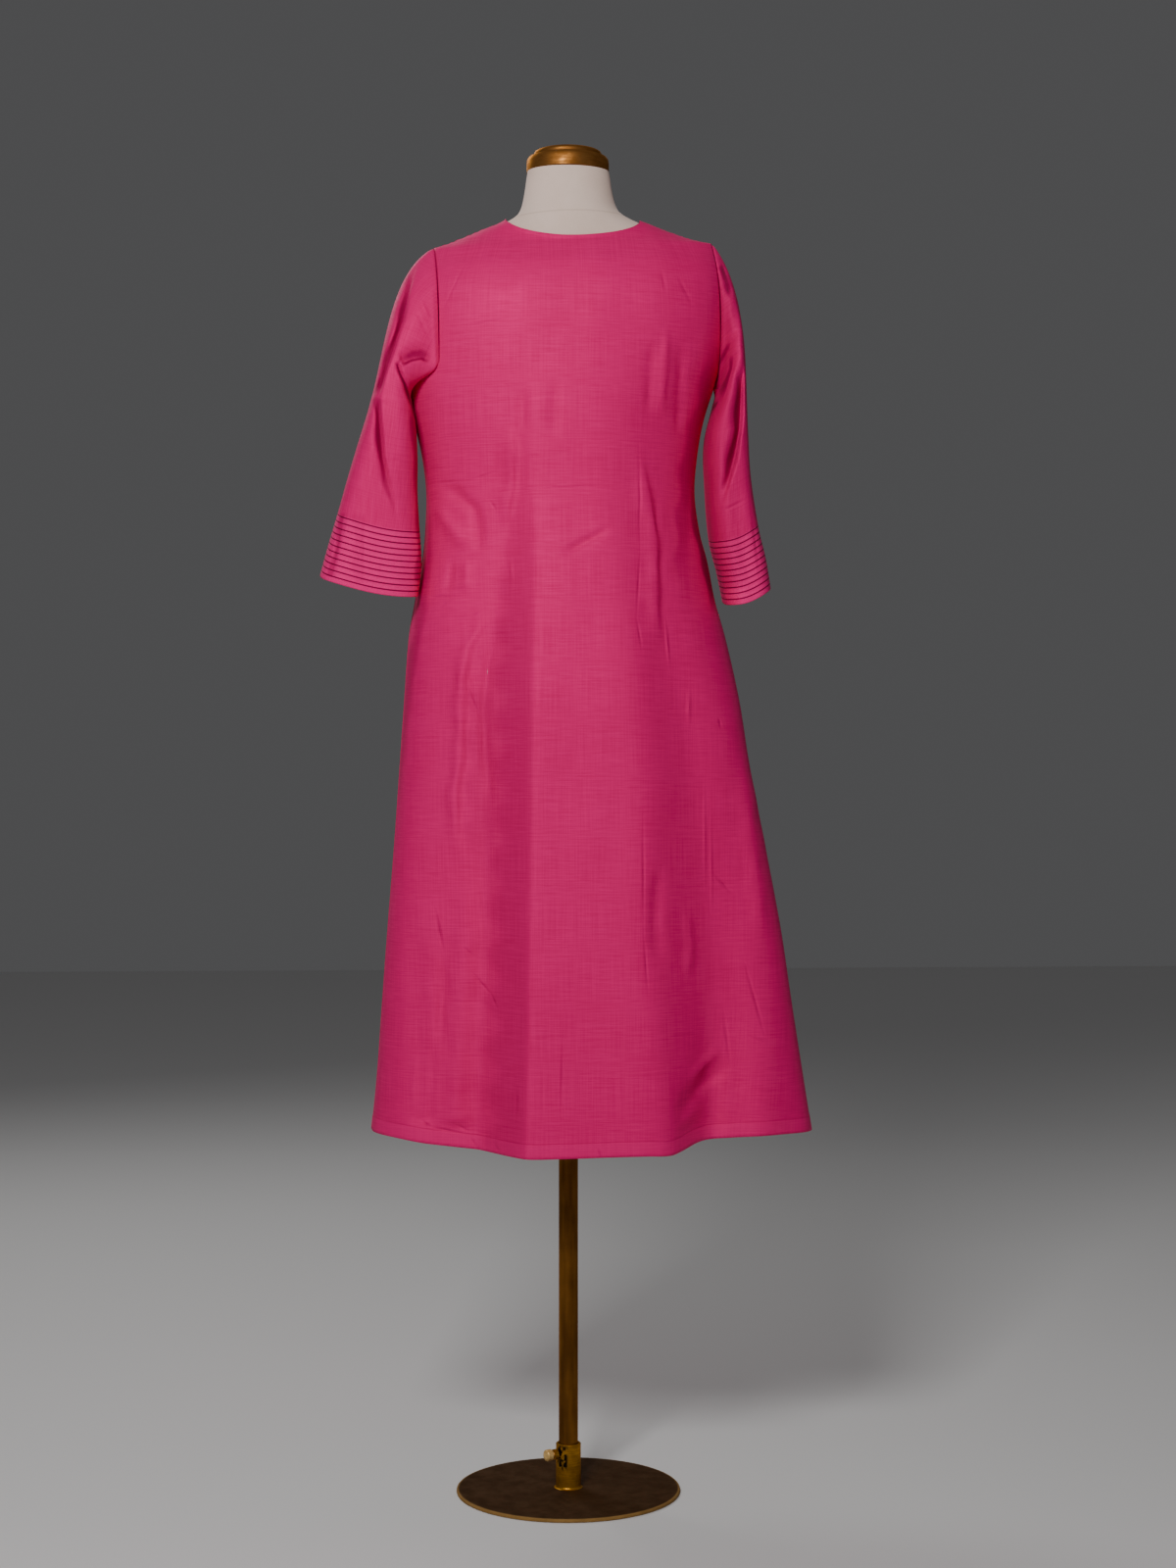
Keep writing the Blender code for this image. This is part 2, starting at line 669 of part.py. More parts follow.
def add_boolean(thing, other, operation):
    modifier = thing.modifiers.new(other.name, "BOOLEAN")
    modifier.operation = operation
    modifier.solver = "EXACT"
    modifier.object = other


def make_socket():
    """The tube that the pole stands in, with a small fillet at its foot and a threaded boss for the clamp screw."""
    base = PLATE_THICKNESS + TOUCH_GAP
    top = base + SOCKET_HEIGHT
    profile = (
        (SOCKET_BORE, base),
        (SOCKET_RADIUS + SOCKET_FOOT, base),
        (SOCKET_RADIUS + SOCKET_FOOT * 0.3, base + SOCKET_FOOT * 0.4),
        (SOCKET_RADIUS, base + SOCKET_FOOT),
        (SOCKET_RADIUS, top - 1.0),
        (SOCKET_RADIUS - 0.9, top),
        (SOCKET_BORE + 0.4, top),
        (SOCKET_BORE, top - 0.5),
    )
    socket = make_ring_solid("base_socket", profile, POLE_BRONZE)
    boss = make_cutter("socket_boss", BOSS_RADIUS, (SOCKET_RADIUS + SOCKET_BORE) / 2, BOSS_REACH)
    hole = make_cutter("screw_hole", SCREW_RADIUS + SCREW_CLEARANCE, SOCKET_BORE - 4, BOSS_REACH + 5)
    add_boolean(socket, boss, "UNION")
    add_boolean(socket, hole, "DIFFERENCE")
    return socket


def make_pole():
    base = PLATE_THICKNESS + TOUCH_GAP
    make_turned("pole", ((POLE_RADIUS, base), (POLE_RADIUS, POLE_TOP)), POLE_BRONZE, segments=32)


def make_screw():
    """The clamp screw: a round-headed thumb screw whose tip stops just short of the pole."""
    bm = bmesh.new()
    outline = [(0.0, POLE_RADIUS + TOUCH_GAP), (SCREW_RADIUS, POLE_RADIUS + TOUCH_GAP), (SCREW_RADIUS, SCREW_HEAD[0][0])]
    outline += [(radius, reach) for reach, radius in SCREW_HEAD]
    outline += [(0.0, SCREW_HEAD[-1][0])]
    corners = [bm.verts.new((radius, 0, reach)) for radius, reach in outline]
    edges = [bm.edges.new(pair) for pair in zip(corners, corners[1:])]
    bmesh.ops.spin(
        bm,
        geom=corners + edges,
        cent=(0, 0, 0),
        axis=(0, 0, 1),
        dvec=(0, 0, 0),
        angle=2 * math.pi,
        steps=24,
        use_merge=True,
    )
    bmesh.ops.remove_doubles(bm, verts=bm.verts, dist=0.001)
    turn_along_screw(bm)
    screw = make_object("clamp_screw", bm, BRASS)
    screw.location.z = SCREW_HEIGHT * MM


# ---- assembly -------------------------------------------------------------------------------------------------------


def main():
    clear_scene()
    grids = {side: panel_grid(side) for side in (-1, 1)}
    rings = {sign: armhole_ring(sign, grids) for sign in (-1, 1)}
    make_sleeve("left_sleeve", -1, LEFT_SLEEVE, rings[-1])
    make_sleeve("right_sleeve", 1, RIGHT_SLEEVE, rings[1])
    make_panel("back_panel", -1, grids, rings)
    make_panel("front_panel", 1, grids, rings)
    make_form()
    make_turned("neck_cap", CAP_PROFILE, GOLDEN_BRONZE, centre_y=NECK_LEAN, base=NECK_TOP + TOUCH_GAP)
    make_plate()
    make_socket()
    make_pole()
    make_screw()


main()
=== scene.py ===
import math
from collections import namedtuple

import bmesh
import bpy
import numpy as np
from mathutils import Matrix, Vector


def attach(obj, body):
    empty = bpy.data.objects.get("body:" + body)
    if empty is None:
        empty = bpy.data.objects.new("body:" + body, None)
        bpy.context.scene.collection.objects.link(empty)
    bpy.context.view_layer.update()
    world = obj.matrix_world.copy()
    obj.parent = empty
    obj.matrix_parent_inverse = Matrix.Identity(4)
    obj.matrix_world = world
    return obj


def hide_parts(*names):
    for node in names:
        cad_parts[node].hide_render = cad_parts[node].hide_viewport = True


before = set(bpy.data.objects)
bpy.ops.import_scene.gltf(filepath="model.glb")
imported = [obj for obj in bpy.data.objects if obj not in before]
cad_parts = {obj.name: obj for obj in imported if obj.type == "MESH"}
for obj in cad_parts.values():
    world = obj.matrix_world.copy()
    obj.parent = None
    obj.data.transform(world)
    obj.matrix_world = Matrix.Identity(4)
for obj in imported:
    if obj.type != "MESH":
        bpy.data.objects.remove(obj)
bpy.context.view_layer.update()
mm = 0.001
print("frame loaded")


def linked(name, data):
    thing = bpy.data.objects.new(name, data)
    bpy.context.scene.collection.objects.link(thing)
    return thing


def meshPiece(name, bm):
    mesh = bpy.data.meshes.new(name)
    bm.to_mesh(mesh)
    bm.free()
    return linked(name, mesh)


# the photograph's camera: level, a little to the right of the pole, with the garment's left end slightly nearer
viewing = {"turn": 4.0, "distance": 3.2, "height": 0.901, "aside": 0.025, "lens": 57.6, "sensor": 36.0, "reach": 40.0}


def placeCamera():
    turn = math.radians(viewing["turn"])
    along, across = -viewing["distance"], viewing["aside"]
    data = bpy.data.cameras.new("camera")
    data.lens = viewing["lens"]
    data.sensor_width = viewing["sensor"]
    data.clip_end = viewing["reach"]
    camera = linked("camera", data)
    camera.location = (
        across * math.cos(turn) + along * math.sin(turn),
        along * math.cos(turn) - across * math.sin(turn),
        viewing["height"],
    )
    camera.rotation_euler = (math.pi / 2, 0, -turn)
    bpy.context.scene.camera = camera


placeCamera()


# soft studio light and a pale floor: places and sizes in metres, powers in watts
studio = {
    "world": (0.80, 0.80, 0.82, 1.0), "worldStrength": 0.10, "aim": (0, 0, 1.15),
    "keyPower": 65.0, "keySize": 0.7, "keyPlace": (-0.8, -2.55, 2.40),
    "fillPower": 1.5, "fillSize": 2.0, "fillPlace": (2.6, -2.2, 1.0),
    "topPower": 4.0, "topSize": 2.4, "topPlace": (0.0, 1.2, 3.0),
    "backPower": 24.0, "backSize": 1.4, "backPlace": (-1.3, 2.3, 2.9),
    "floor": (0.80, 0.79, 0.78, 1.0), "floorHalf": 9.0, "floorRoughness": 0.7,
}


def areaLight(kind):
    data = bpy.data.lights.new(kind, "AREA")
    data.energy = studio[kind + "Power"]
    data.size = studio[kind + "Size"]
    light = linked(kind, data)
    light.location = studio[kind + "Place"]
    light.rotation_euler = (Vector(studio["aim"]) - light.location).to_track_quat("-Z", "Y").to_euler()


def lightStudio():
    world = bpy.data.worlds.new("studio")
    bpy.context.scene.world = world
    world.use_nodes = True
    background = world.node_tree.nodes["Background"]
    background.inputs["Color"].default_value = studio["world"]
    background.inputs["Strength"].default_value = studio["worldStrength"]
    for kind in ("key", "fill", "top", "back"):
        areaLight(kind)
    bm = bmesh.new()
    bmesh.ops.create_grid(bm, x_segments=1, y_segments=1, size=studio["floorHalf"])
    floor = meshPiece("floor", bm)
    material = bpy.data.materials.new("floorPaint")
    material.use_nodes = True
    shader = material.node_tree.nodes["Principled BSDF"]
    shader.inputs["Base Color"].default_value = studio["floor"]
    shader.inputs["Roughness"].default_value = studio["floorRoughness"]
    floor.data.materials.append(material)


lightStudio()


# shader maths: a wrapped socket takes Python's own operators
class Wire:
    def __init__(self, tree, socket):
        self.tree, self.socket = tree, socket

    def combined(self, operation, values):
        node = self.tree.nodes.new("ShaderNodeMath")
        node.operation = operation
        for number, value in enumerate(values):
            if isinstance(value, Wire):
                self.tree.links.new(value.socket, node.inputs[number])
            else:
                node.inputs[number].default_value = value
        return Wire(self.tree, node.outputs[0])

    def maths(self, operation, *others):
        return self.combined(operation, (self,) + others)

    def __add__(self, other):
        return self.combined("ADD", (self, other))

    def __sub__(self, other):
        return self.combined("SUBTRACT", (self, other))

    def __mul__(self, other):
        return self.combined("MULTIPLY", (self, other))

    def __truediv__(self, other):
        return self.combined("DIVIDE", (self, other))

    def __rsub__(self, other):
        return self.combined("SUBTRACT", (other, self))

    def __rtruediv__(self, other):
        return self.combined("DIVIDE", (other, self))

    __radd__ = __add__
    __rmul__ = __mul__

    def clamped(self):
        return self.maths("MAXIMUM", 0.0).maths("MINIMUM", 1.0)

    def beside(self, output):
        return Wire(self.tree, self.socket.node.outputs[output])

    def ramped(self, low, high):
        node = self.tree.nodes.new("ShaderNodeMapRange")
        node.interpolation_type = "SMOOTHSTEP"
        node.inputs["From Min"].default_value = low
        node.inputs["From Max"].default_value = high
        self.tree.links.new(self.socket, node.inputs["Value"])
        return Wire(self.tree, node.outputs["Result"])


class Finish:
    def __init__(self, name, **constants):
        self.material = bpy.data.materials.new(name)
        self.material.use_nodes = True
        self.tree = self.material.node_tree
        self.shader = self.tree.nodes["Principled BSDF"]
        for socket, value in constants.items():
            self.shader.inputs[socket.replace("_", " ")].default_value = value

    def node(self, kind, settings=None, inputs=None, output=0):
        node = self.tree.nodes.new(kind)
        for setting, value in (settings or {}).items():
            setattr(node, setting, value)
        for socket, value in (inputs or {}).items():
            if isinstance(value, Wire):
                self.tree.links.new(value.socket, node.inputs[socket])
            else:
                node.inputs[socket].default_value = value
        return Wire(self.tree, node.outputs[output])

    def mixed(self, amount, first, second):
        return self.node(
            "ShaderNodeMix", {"data_type": "RGBA"}, {"Factor": amount, 6: first, 7: second}, output=2
        )

    def noise(self, where, scale, detail=2.0, rough=0.5, stretch=(1, 1, 1), offset=(0, 0, 0)):
        place = self.node("ShaderNodeMapping", None, {"Vector": where, "Scale": stretch, "Location": offset})
        return self.node(
            "ShaderNodeTexNoise", None, {"Vector": place, "Scale": scale, "Detail": detail, "Roughness": rough}
        )

    def feed(self, socket, wire):
        self.tree.links.new(wire.socket, self.shader.inputs[socket])

    def bump(self, height, distance, strength=1.0):
        self.feed("Normal", self.node(
            "ShaderNodeBump", None, {"Height": height, "Distance": distance, "Strength": strength}
        ))


# the kurti's cloth: slub yarns run across the body and along the sleeves. the colour for folds is painted shade, laid
# into deep folds, creases and shaded edges with no fold; yarns gives each kind's length and thickness, tucks and the
# hem are measured from the edge, in metres
cloth = {
    "colour": (0.77, 0.005, 0.158, 1.0), "pale": (0.93, 0.018, 0.22, 1.0), "deep": (0.56, 0.003, 0.095, 1.0),
    "tuckThreadAndShadow": (0.12, 0.001, 0.018, 1.0), "paintedFoldShade": (0.125, 0.0004, 0.015, 1.0), "evenness": 0.56,
    "roughness": 0.63, "roughnessRange": 0.10, "satin": 0.15, "sheen": 0.05, "sheenTint": (1.0, 0.22, 0.50, 1.0),
    "shine": 0.3, "shineTint": (1.0, 0.15, 0.4, 1.0), "threads": 320.0, "picks": 290.0,
    "yarns": {"slub": (0.060, 0.0017), "fine": (0.020, 0.0008), "warp": (0.0013, 0.070)},
    "hemPaler": 0.28, "cuffPaler": 0.85, "tuckDark": 0.93, "tuckStep": 0.0074, "tuckFirst": 0.0070, "tucks": 11,
    "tuckLine": 0.0010, "hemDepth": 0.018, "hemStitch": 0.4, "seamDark": 0.5,
    "pressDepth": 0.8, "pressShade": 0.07, "weaveRelief": 0.32, "softRelief": 1.5, "bumpDepth": 0.001,
}


Crease = namedtuple("Crease", "start end width height")
creaseOverrun, creaseFalloff, nearNothing = 0.62, 1.5, 1e-9


def creaseHeight(finish, marks):
    # small creases, each a long thin ellipse that is sharp along its middle and fades towards its ends; each place takes
    # next to nothing from the sum before it, so that they are worked out in turn and the shader's stack holds them
    plan = finish.node("ShaderNodeUVMap", {"uv_map": "plan"})
    total, where = 0.0, plan
    for mark in marks:
        (x, z), (endX, endZ) = mark.start, mark.end
        long = max(math.hypot(endX - x, endZ - z) * creaseOverrun, mark.width)
        place = finish.node("ShaderNodeMapping", {"vector_type": "TEXTURE"}, {
            "Vector": where, "Location": ((x + endX) / 2 * mm, (z + endZ) / 2 * mm, 0),
            "Rotation": (0, 0, math.atan2(endZ - z, endX - x)), "Scale": (long * mm, mark.width * mm, 1),
        })
        away = finish.node("ShaderNodeVectorMath", {"operation": "LENGTH"}, {0: place}, output=1)
        near = finish.node("ShaderNodeMath", {"operation": "SUBTRACT", "use_clamp": True}, {0: 1.0, 1: away})
        total = near.maths("POWER", creaseFalloff).maths("MULTIPLY_ADD", mark.height * cloth["pressDepth"], total)
        where = finish.node(
            "ShaderNodeVectorMath", {"operation": "MULTIPLY_ADD"}, {0: total, 1: (nearNothing,) * 3, 2: plan}
        )
    return total


def clothFinish(name, creases=(), sleeve=False):
    finish = Finish(
        name, Metallic=cloth["satin"], Sheen_Weight=cloth["sheen"], Sheen_Roughness=0.5, Sheen_Tint=cloth["sheenTint"],
        Specular_IOR_Level=cloth["shine"], Specular_Tint=cloth["shineTint"],
    )
    grain, edges, depth = (finish.node("ShaderNodeUVMap", {"uv_map": uvMap}) for uvMap in ("grain", "edges", "depth"))
    fromHem = finish.node("ShaderNodeSeparateXYZ", None, {"Vector": edges})
    fromSeam = fromHem.beside(1)
    paintedShade = finish.node("ShaderNodeSeparateXYZ", None, {"Vector": depth})
    across, along = (0, 1) if not sleeve else (1, 0)  # slubs run along the first of the two

    def yarns(kind, rough, offset=(0, 0, 0)):
        scale = [1.0, 1.0, 1.0]
        long, thin = cloth["yarns"][kind]
        scale[across], scale[along] = 1.0 / long, 1.0 / thin
        return finish.noise(grain, 1.0, 1.0, rough, tuple(scale), offset)

    def bands(way, scale):
        return finish.node("ShaderNodeTexWave", {"bands_direction": way}, {
            "Vector": grain, "Scale": scale, "Distortion": 0.6, "Detail": 1.0,
        })

    slubs, fine, warp = yarns("slub", 0.5), yarns("fine", 0.6, (3, 7, 0)), yarns("warp", 0.5, (11, 2, 0))
    cloud = finish.noise(grain, 9.0, 2.0, 0.5)
    threads, picks = bands("Y", cloth["threads"]), bands("X", cloth["picks"])
    tone = (slubs * 0.30 + fine * 0.30 + warp * 0.26 + cloud * 0.14).ramped(0.30, 0.70)
    colour = finish.mixed(tone, cloth["deep"], cloth["pale"])
    colour = finish.mixed(cloth["evenness"], colour, cloth["colour"])
    height = slubs * 0.5 + fine * 0.3 + warp * 0.12 + threads * 0.05 + picks * 0.05
    if sleeve:
        step = cloth["tuckStep"]
        low, high = cloth["tuckFirst"], cloth["tuckFirst"] + step * (cloth["tucks"] - 1)
        band = 1.0 - fromHem.ramped(high + 0.0005, high + 0.003)
        colour = finish.mixed(band * cloth["cuffPaler"], colour, cloth["pale"])
        place = ((fromHem - low) / step + 0.5).maths("FRACT") - 0.5
        line = 1.0 - (place.maths("ABSOLUTE") * step).ramped(cloth["tuckLine"] * 0.35, cloth["tuckLine"])
        inside = fromHem.ramped(low - 0.002, low - 0.0015) * (1.0 - fromHem.ramped(high + 0.0025, high + 0.003))
        # the tucks' lines: dark thread together with painted shadow beside each tuck
        colour = finish.mixed(line * inside * cloth["tuckDark"], colour, cloth["tuckThreadAndShadow"])
        height = height - line * inside * 1.2
    else:
        band = 1.0 - fromHem.ramped(cloth["hemDepth"] - 0.0006, cloth["hemDepth"] + 0.0004)
        colour = finish.mixed(band * cloth["hemPaler"], colour, cloth["pale"])
        stitching = 1.0 - (fromHem - cloth["hemDepth"]).maths("ABSOLUTE").ramped(0.0003, 0.0011)
        colour = finish.mixed(stitching * cloth["hemStitch"], colour, cloth["deep"])
        height = height - stitching * 0.6
    seam = 1.0 - fromSeam.ramped(0.0003, 0.0016)
    colour = finish.mixed(seam * cloth["seamDark"], colour, cloth["deep"])
    height = height * cloth["weaveRelief"] + finish.noise(grain, 1.0, 2.0, 0.5, (18.0, 11.0, 1.0)) * cloth["softRelief"]
    if creases:
        relief = creaseHeight(finish, creases)
        # painted shade: the cloth's colour darkens in the creases' troughs
        colour = finish.mixed((relief * -cloth["pressShade"]).clamped(), colour, cloth["paintedFoldShade"])
        height = height + relief
    # painted shade: the folds' dark values, carried in the depth map, darken the cloth's colour towards the painted
    # shade colour
    finish.feed("Base Color", finish.mixed(paintedShade.clamped(), colour, cloth["paintedFoldShade"]))
    finish.feed("Roughness", cloth["roughness"] + (0.5 - tone) * cloth["roughnessRange"])
    finish.bump(height, cloth["bumpDepth"])
    return finish.material


# the garment's sections, in mm: height, seam to pole's axis on each side, depth of back and front, squareness
bodyRows = np.array([
    (440, 252, 311, 126, 132, 2.0, 2.6), (528, 243, 297, 127, 131, 2.0, 2.6), (625, 236, 282, 126, 129, 2.0, 2.55),
    (720, 229, 268, 124, 127, 2.0, 2.5), (821, 221, 249, 122, 125, 2.0, 2.45), (921, 214, 230, 120, 122, 2.0, 2.4),
    (1007, 208, 217, 118, 119, 2.0, 2.3), (1088, 202, 200, 114, 115, 2.1, 2.2), (1136, 194, 187, 108, 112, 2.1, 2.1),
    (1187, 185, 177, 101, 111, 2.1, 2.1), (1220, 181.5, 168, 97, 112, 2.1, 2.1), (1271, 180, 161, 94, 115, 2.1, 2.1),
    (1317, 185.5, 164, 97, 122, 2.1, 2.1), (1363, 196, 172, 101, 127, 2.1, 2.1), (1408, 204, 186, 103, 124, 2.1, 2.1),
    (1450, 202, 200, 103.0, 116, 2.2, 2.2), (1490, 198, 205, 102.6, 106.5, 2.3, 2.3),
    (1521, 197, 206, 97.8, 97.5, 2.3, 2.3), (1551, 194, 204, 86.8, 82.3, 2.1, 2.1),
    (1568, 191, 199, 76.3, 72.3, 1.9, 1.9), (1578, 188, 196, 69.6, 67.3, 1.78, 1.78),
    (1582.5, 186, 193, 66, 65, 1.7, 1.7), (1586, 175, 177, 64.6, 64.4, 1.66, 1.66),
    (1591.5, 156, 157, 63.0, 63.6, 1.62, 1.62), (1597, 141, 141.5, 62.0, 62.6, 1.6, 1.6),
    (1601.8, 127.5, 127.5, 61.2, 62, 1.62, 1.62), (1610.6, 105.5, 105.5, 60, 61.6, 1.68, 1.68),
    (1615.6, 92.3, 92.3, 59.4, 61.6, 1.74, 1.74), (1621, 82, 82, 58, 61.6, 1.84, 1.84),
], float)
# the flat middle of the back and the front stands out between two risers: height, then where each starts and ends
riserRows = {
    -1: np.array([
        (440, -118, -62, 122, 164, 34), (516, -115, -60, 112, 166, 32), (612, -111, -57, 98, 168, 29),
        (708, -107, -56, 92, 166, 26), (805, -106, -53, 88, 160, 23), (901, -107, -52, 84, 148, 20),
        (998, -103, -51, 80, 130, 18), (1090, -97, -50, 76, 112, 14), (1150, -88, -49, 77, 106, 12),
        (1200, -81, -48, 82, 105, 10.5), (1271, -74, -47, 86, 97, 8), (1330, -69, -48, 86, 96, 5.5),
        (1385, -63, -49, 80, 96, 3), (1430, -60, -48, 70, 96, 0),
    ], float),
    1: np.array([
        (440, -136, -88, 74, 128, 30), (560, -132, -86, 74, 124, 27), (700, -128, -84, 74, 120, 22),
        (1000, -122, -82, 74, 116, 12), (1200, -118, -80, 74, 112, 3), (1300, -116, -80, 74, 110, 0),
    ], float),
}
# the sides hang flatter than the sections' ovals: height, how far each side is set in, and its squareness
flatRows = {
    -1: np.array([
        (440, 24, 2.7, 24, 4.6), (700, 21, 2.6, 23, 4.4), (850, 17, 2.5, 19, 3.9), (1007, 13, 2.35, 10, 3.0),
        (1110, 9, 2.2, 3, 2.3), (1187, 5, 2.1, 0, 2.1), (1300, 2, 2.1, 0, 2.1), (1400, 0, 2.1, 0, 2.1),
    ], float),
    1: np.array([(440, 8, 2.3, 8, 2.9), (900, 4, 2.15, 4, 2.6), (1150, 0, 2.1, 0, 2.1), (1300, 0, 2.1, 0, 2.1)], float),
}
# soft flutes: centre, half width, rise at the hem, upper end
flutes = {-1: ((-196, 44, 6, 900), (168, 30, -9, 640), (238, 46, 7, 820)),
          1: ((-205, 46, 7, 860), (-20, 60, -8, 760), (200, 50, 8, 900))}
hemRows = {
    -1: np.array([
        (-250, 464), (-215, 461), (-177, 456), (-114, 450), (-60, 446), (-16, 446.5), (86, 448.5), (118, 448),
        (135, 451.5), (154, 457.5), (170, 460), (242, 464), (310, 464),
    ], float),
    1: np.array([(-250, 464), (-150, 457), (0, 452), (180, 457), (310, 464)], float),
}
cut = {
    "hemLevel": 446.0, "underarm": 1408.0, "shoulderTip": 1582.5, "tip": (171.0, 181.0), "chest": (165.0, 190.0),
    "neck": (81.0, 91.0), "neckDrop": {-1: 31.0, 1: 150.0}, "neckShare": 0.5, "neckCrowding": 1.3,
    "underCurve": (0.12, 2.2), "rise": 1.6,
    "tilt": 0.036, "tiltHeights": (1410.0, 1560.0, 1628.0, 1676.0), "thickness": 0.0008,
}
formRows = np.array([
    (870, 140, 84, 82, 2.2), (920, 152, 95, 90, 2.2), (980, 162, 106, 97, 2.2), (1040, 166, 111, 101, 2.2),
    (1090, 161, 108, 102, 2.2), (1160, 146, 97, 100, 2.15), (1220, 130, 84, 97, 2.1), (1271, 122, 77, 97, 2.1),
    (1320, 131, 84, 108, 2.15), (1370, 144, 94, 120, 2.2), (1410, 151, 98.5, 119, 2.2), (1450, 160, 100.2, 112.5, 2.2),
    (1490, 170, 99.8, 103.5, 2.25), (1521, 174, 95.0, 94.5, 2.25), (1549, 174, 84.0, 79.5, 2.1),
    (1566, 172, 73.5, 69.5, 1.9), (1576, 168, 66.4, 62.0, 1.78), (1583.4, 161, 61.2, 58.0, 1.68),
    (1589.2, 151, 58.9, 56.0, 1.62), (1594.8, 137.5, 57.5, 55, 1.6), (1599.6, 123.8, 56.4, 54.5, 1.6),
    (1608.4, 101.8, 55.0, 54, 1.62), (1613.4, 90.2, 54.8, 54.5, 1.7), (1618.9, 77.5, 53.6, 55, 1.8),
    (1626.2, 66.3, 51.4, 57, 1.92), (1634, 61.2, 49.0, 59.5, 2.0), (1643, 58.4, 46.6, 62, 2.0),
    (1656, 55.8, 43.4, 64, 2.0), (1671, 53.6, 40.6, 64.8, 2.0), (1681.3, 52.0, 39.0, 65.0, 2.0),
], float)
# sleeve sections: height, inner and outer edge, back and front, rise outward, droop of the back
sleeveRows = {
    -1: np.array([
        (1152, 191, 314, -63, 12, 25, 12.5), (1190, 187, 304, -65, 14, 22, 10), (1240, 190, 290, -69, 22, 17, 5),
        (1274, 192, 281, -73, 30, 13, 2), (1319, 192, 268, -78, 42, 10, 0), (1360, 194.5, 256, -80, 52, 6, 0),
        (1388, 200, 249, -78, 58, 2, 0),
    ], float),
    1: np.array([
        (1143, 198, 254, -82, 58, 24, 13), (1180, 190, 248, -81, 57, 21, 10), (1219, 180, 239, -80, 56, 15, 6),
        (1286, 174.5, 229, -78, 56, 8, 2), (1340, 174, 226, -76, 58, 4, 0), (1388, 186, 224, -74, 60, 0, 0),
    ], float),
}
armholeShares = np.array([0.0, 0.03, 0.12, 0.25, 0.41, 0.57, 0.71, 0.83, 0.915, 0.97, 1.0])
skirtTop = 1187.0  # the sides hang flat below this height
riserCorners = {-1: (2.6, 10.0), 1: (5.0, 8.0)}  # how softly the middle's two risers bend, in mm


def eased(rows, place):
    place = np.atleast_1d(np.asarray(place, float))
    low = np.clip(np.searchsorted(rows[:, 0], place, side="left") - 1, 0, len(rows) - 2)
    start, end = rows[low], rows[low + 1]
    before, after = rows[np.maximum(low - 1, 0)], rows[np.minimum(low + 2, len(rows) - 1)]
    gap = (end - start)[:, :1]
    t = np.clip((place[:, None] - start[:, :1]) / gap, 0.0, 1.0)
    slopeIn = (end - before) / (end - before)[:, :1] * gap
    slopeOut = (after - start) / (after - start)[:, :1] * gap
    return (
        (2 * t**3 - 3 * t**2 + 1) * start + (t**3 - 2 * t**2 + t) * slopeIn
        + (3 * t**2 - 2 * t**3) * end + (t**3 - t**2) * slopeOut
    )


def smoothStep(low, high, value):
    t = np.clip((value - low) / (high - low), 0.0, 1.0)
    return t * t * (3 - 2 * t)


def roundOff(share, square):
    return np.maximum(1 - np.minimum(np.abs(share), 1.0) ** square, 0.0) ** (1 / square)


def settled(points):
    start, full, fade, end = cut["tiltHeights"]
    z = points[:, 2]
    points[:, 2] = z + points[:, 0] * cut["tilt"] * smoothStep(start, full, z) * (1 - smoothStep(fade, end, z))
    return points


def bend(distance, softness):
    # nothing before a corner and a straight rise after it, with the corner rounded
    return softness * np.logaddexp(0.0, distance / softness)


def ramp(start, end, x, softness):
    return (bend(x - start, softness) - bend(x - end, softness)) / (end - start)


def bodySurface(side, x, height):
    row, riser, flat = eased(bodyRows, height), eased(riserRows[side], height), eased(flatRows[side], height)
    left = x < 0
    half = np.where(left, row[:, 1], row[:, 2])
    lower = height < skirtTop
    square = np.where(lower, np.where(left, flat[:, 2], flat[:, 4]), np.where(left, row[:, 5], row[:, 6]))
    setIn = np.where(left, flat[:, 1], flat[:, 3])
    deep = row[:, 3] if side < 0 else row[:, 4]
    turned = roundOff(x / half, square)
    crisp, soft = riserCorners[side]
    middle = ramp(riser[:, 1], riser[:, 2], x, crisp) * (1 - ramp(riser[:, 3], riser[:, 4], x, soft))
    lift = (np.maximum(riser[:, 5], 0) + setIn) * middle
    for centre, reach, rise, top in flutes[side]:
        near = (height < top) & (np.abs(x - centre) < reach)
        wave = np.cos((x - centre) / reach * math.pi / 2) ** 2
        lift = lift + np.where(near, rise * smoothStep(top, cut["hemLevel"], height) * wave, 0.0)
    depth = (deep - setIn) * turned + lift * np.minimum(turned * 2.0, 1.0)
    return settled(np.stack([x, side * depth, height], axis=1))


def halfWidth(height, x):
    row = eased(bodyRows, height)
    return np.where(x < 0, row[:, 1], row[:, 2])


def shoulderHeight(x):
    low = np.full(len(x), cut["shoulderTip"])
    high = np.full(len(x), bodyRows[-1, 0])
    for _ in range(40):
        middle = (low + high) / 2
        wider = halfWidth(middle, x) > np.abs(x)
        low, high = np.where(wider, middle, low), np.where(wider, high, middle)
    return low


def topEdge(side, across):
    left = across < 0
    tip = np.where(left, *cut["tip"])
    corner = np.where(left, *cut["neck"])
    share, sign = np.abs(across), np.where(left, -1.0, 1.0)
    outX = sign * (corner + (tip - corner) * (share - cut["neckShare"]) / (1 - cut["neckShare"]))
    depth = cut["neckDrop"][side]
    inner = np.clip(1 - share / cut["neckShare"], 0, 1)
    drop = depth * (1 - np.cos(math.pi * inner ** cut["neckCrowding"])) / 2
    inX = sign * corner * np.sqrt(np.maximum(1 - (drop / depth) ** 2, 0))
    first, last = shoulderHeight(np.array([-cut["neck"][0], cut["neck"][1]]))
    inZ = first + (last - first) * (inX + cut["neck"][0]) / sum(cut["neck"]) - drop
    onShoulder = share >= cut["neckShare"]
    x = np.where(onShoulder, outX, inX)
    return x, np.where(onShoulder, shoulderHeight(outX), inZ)


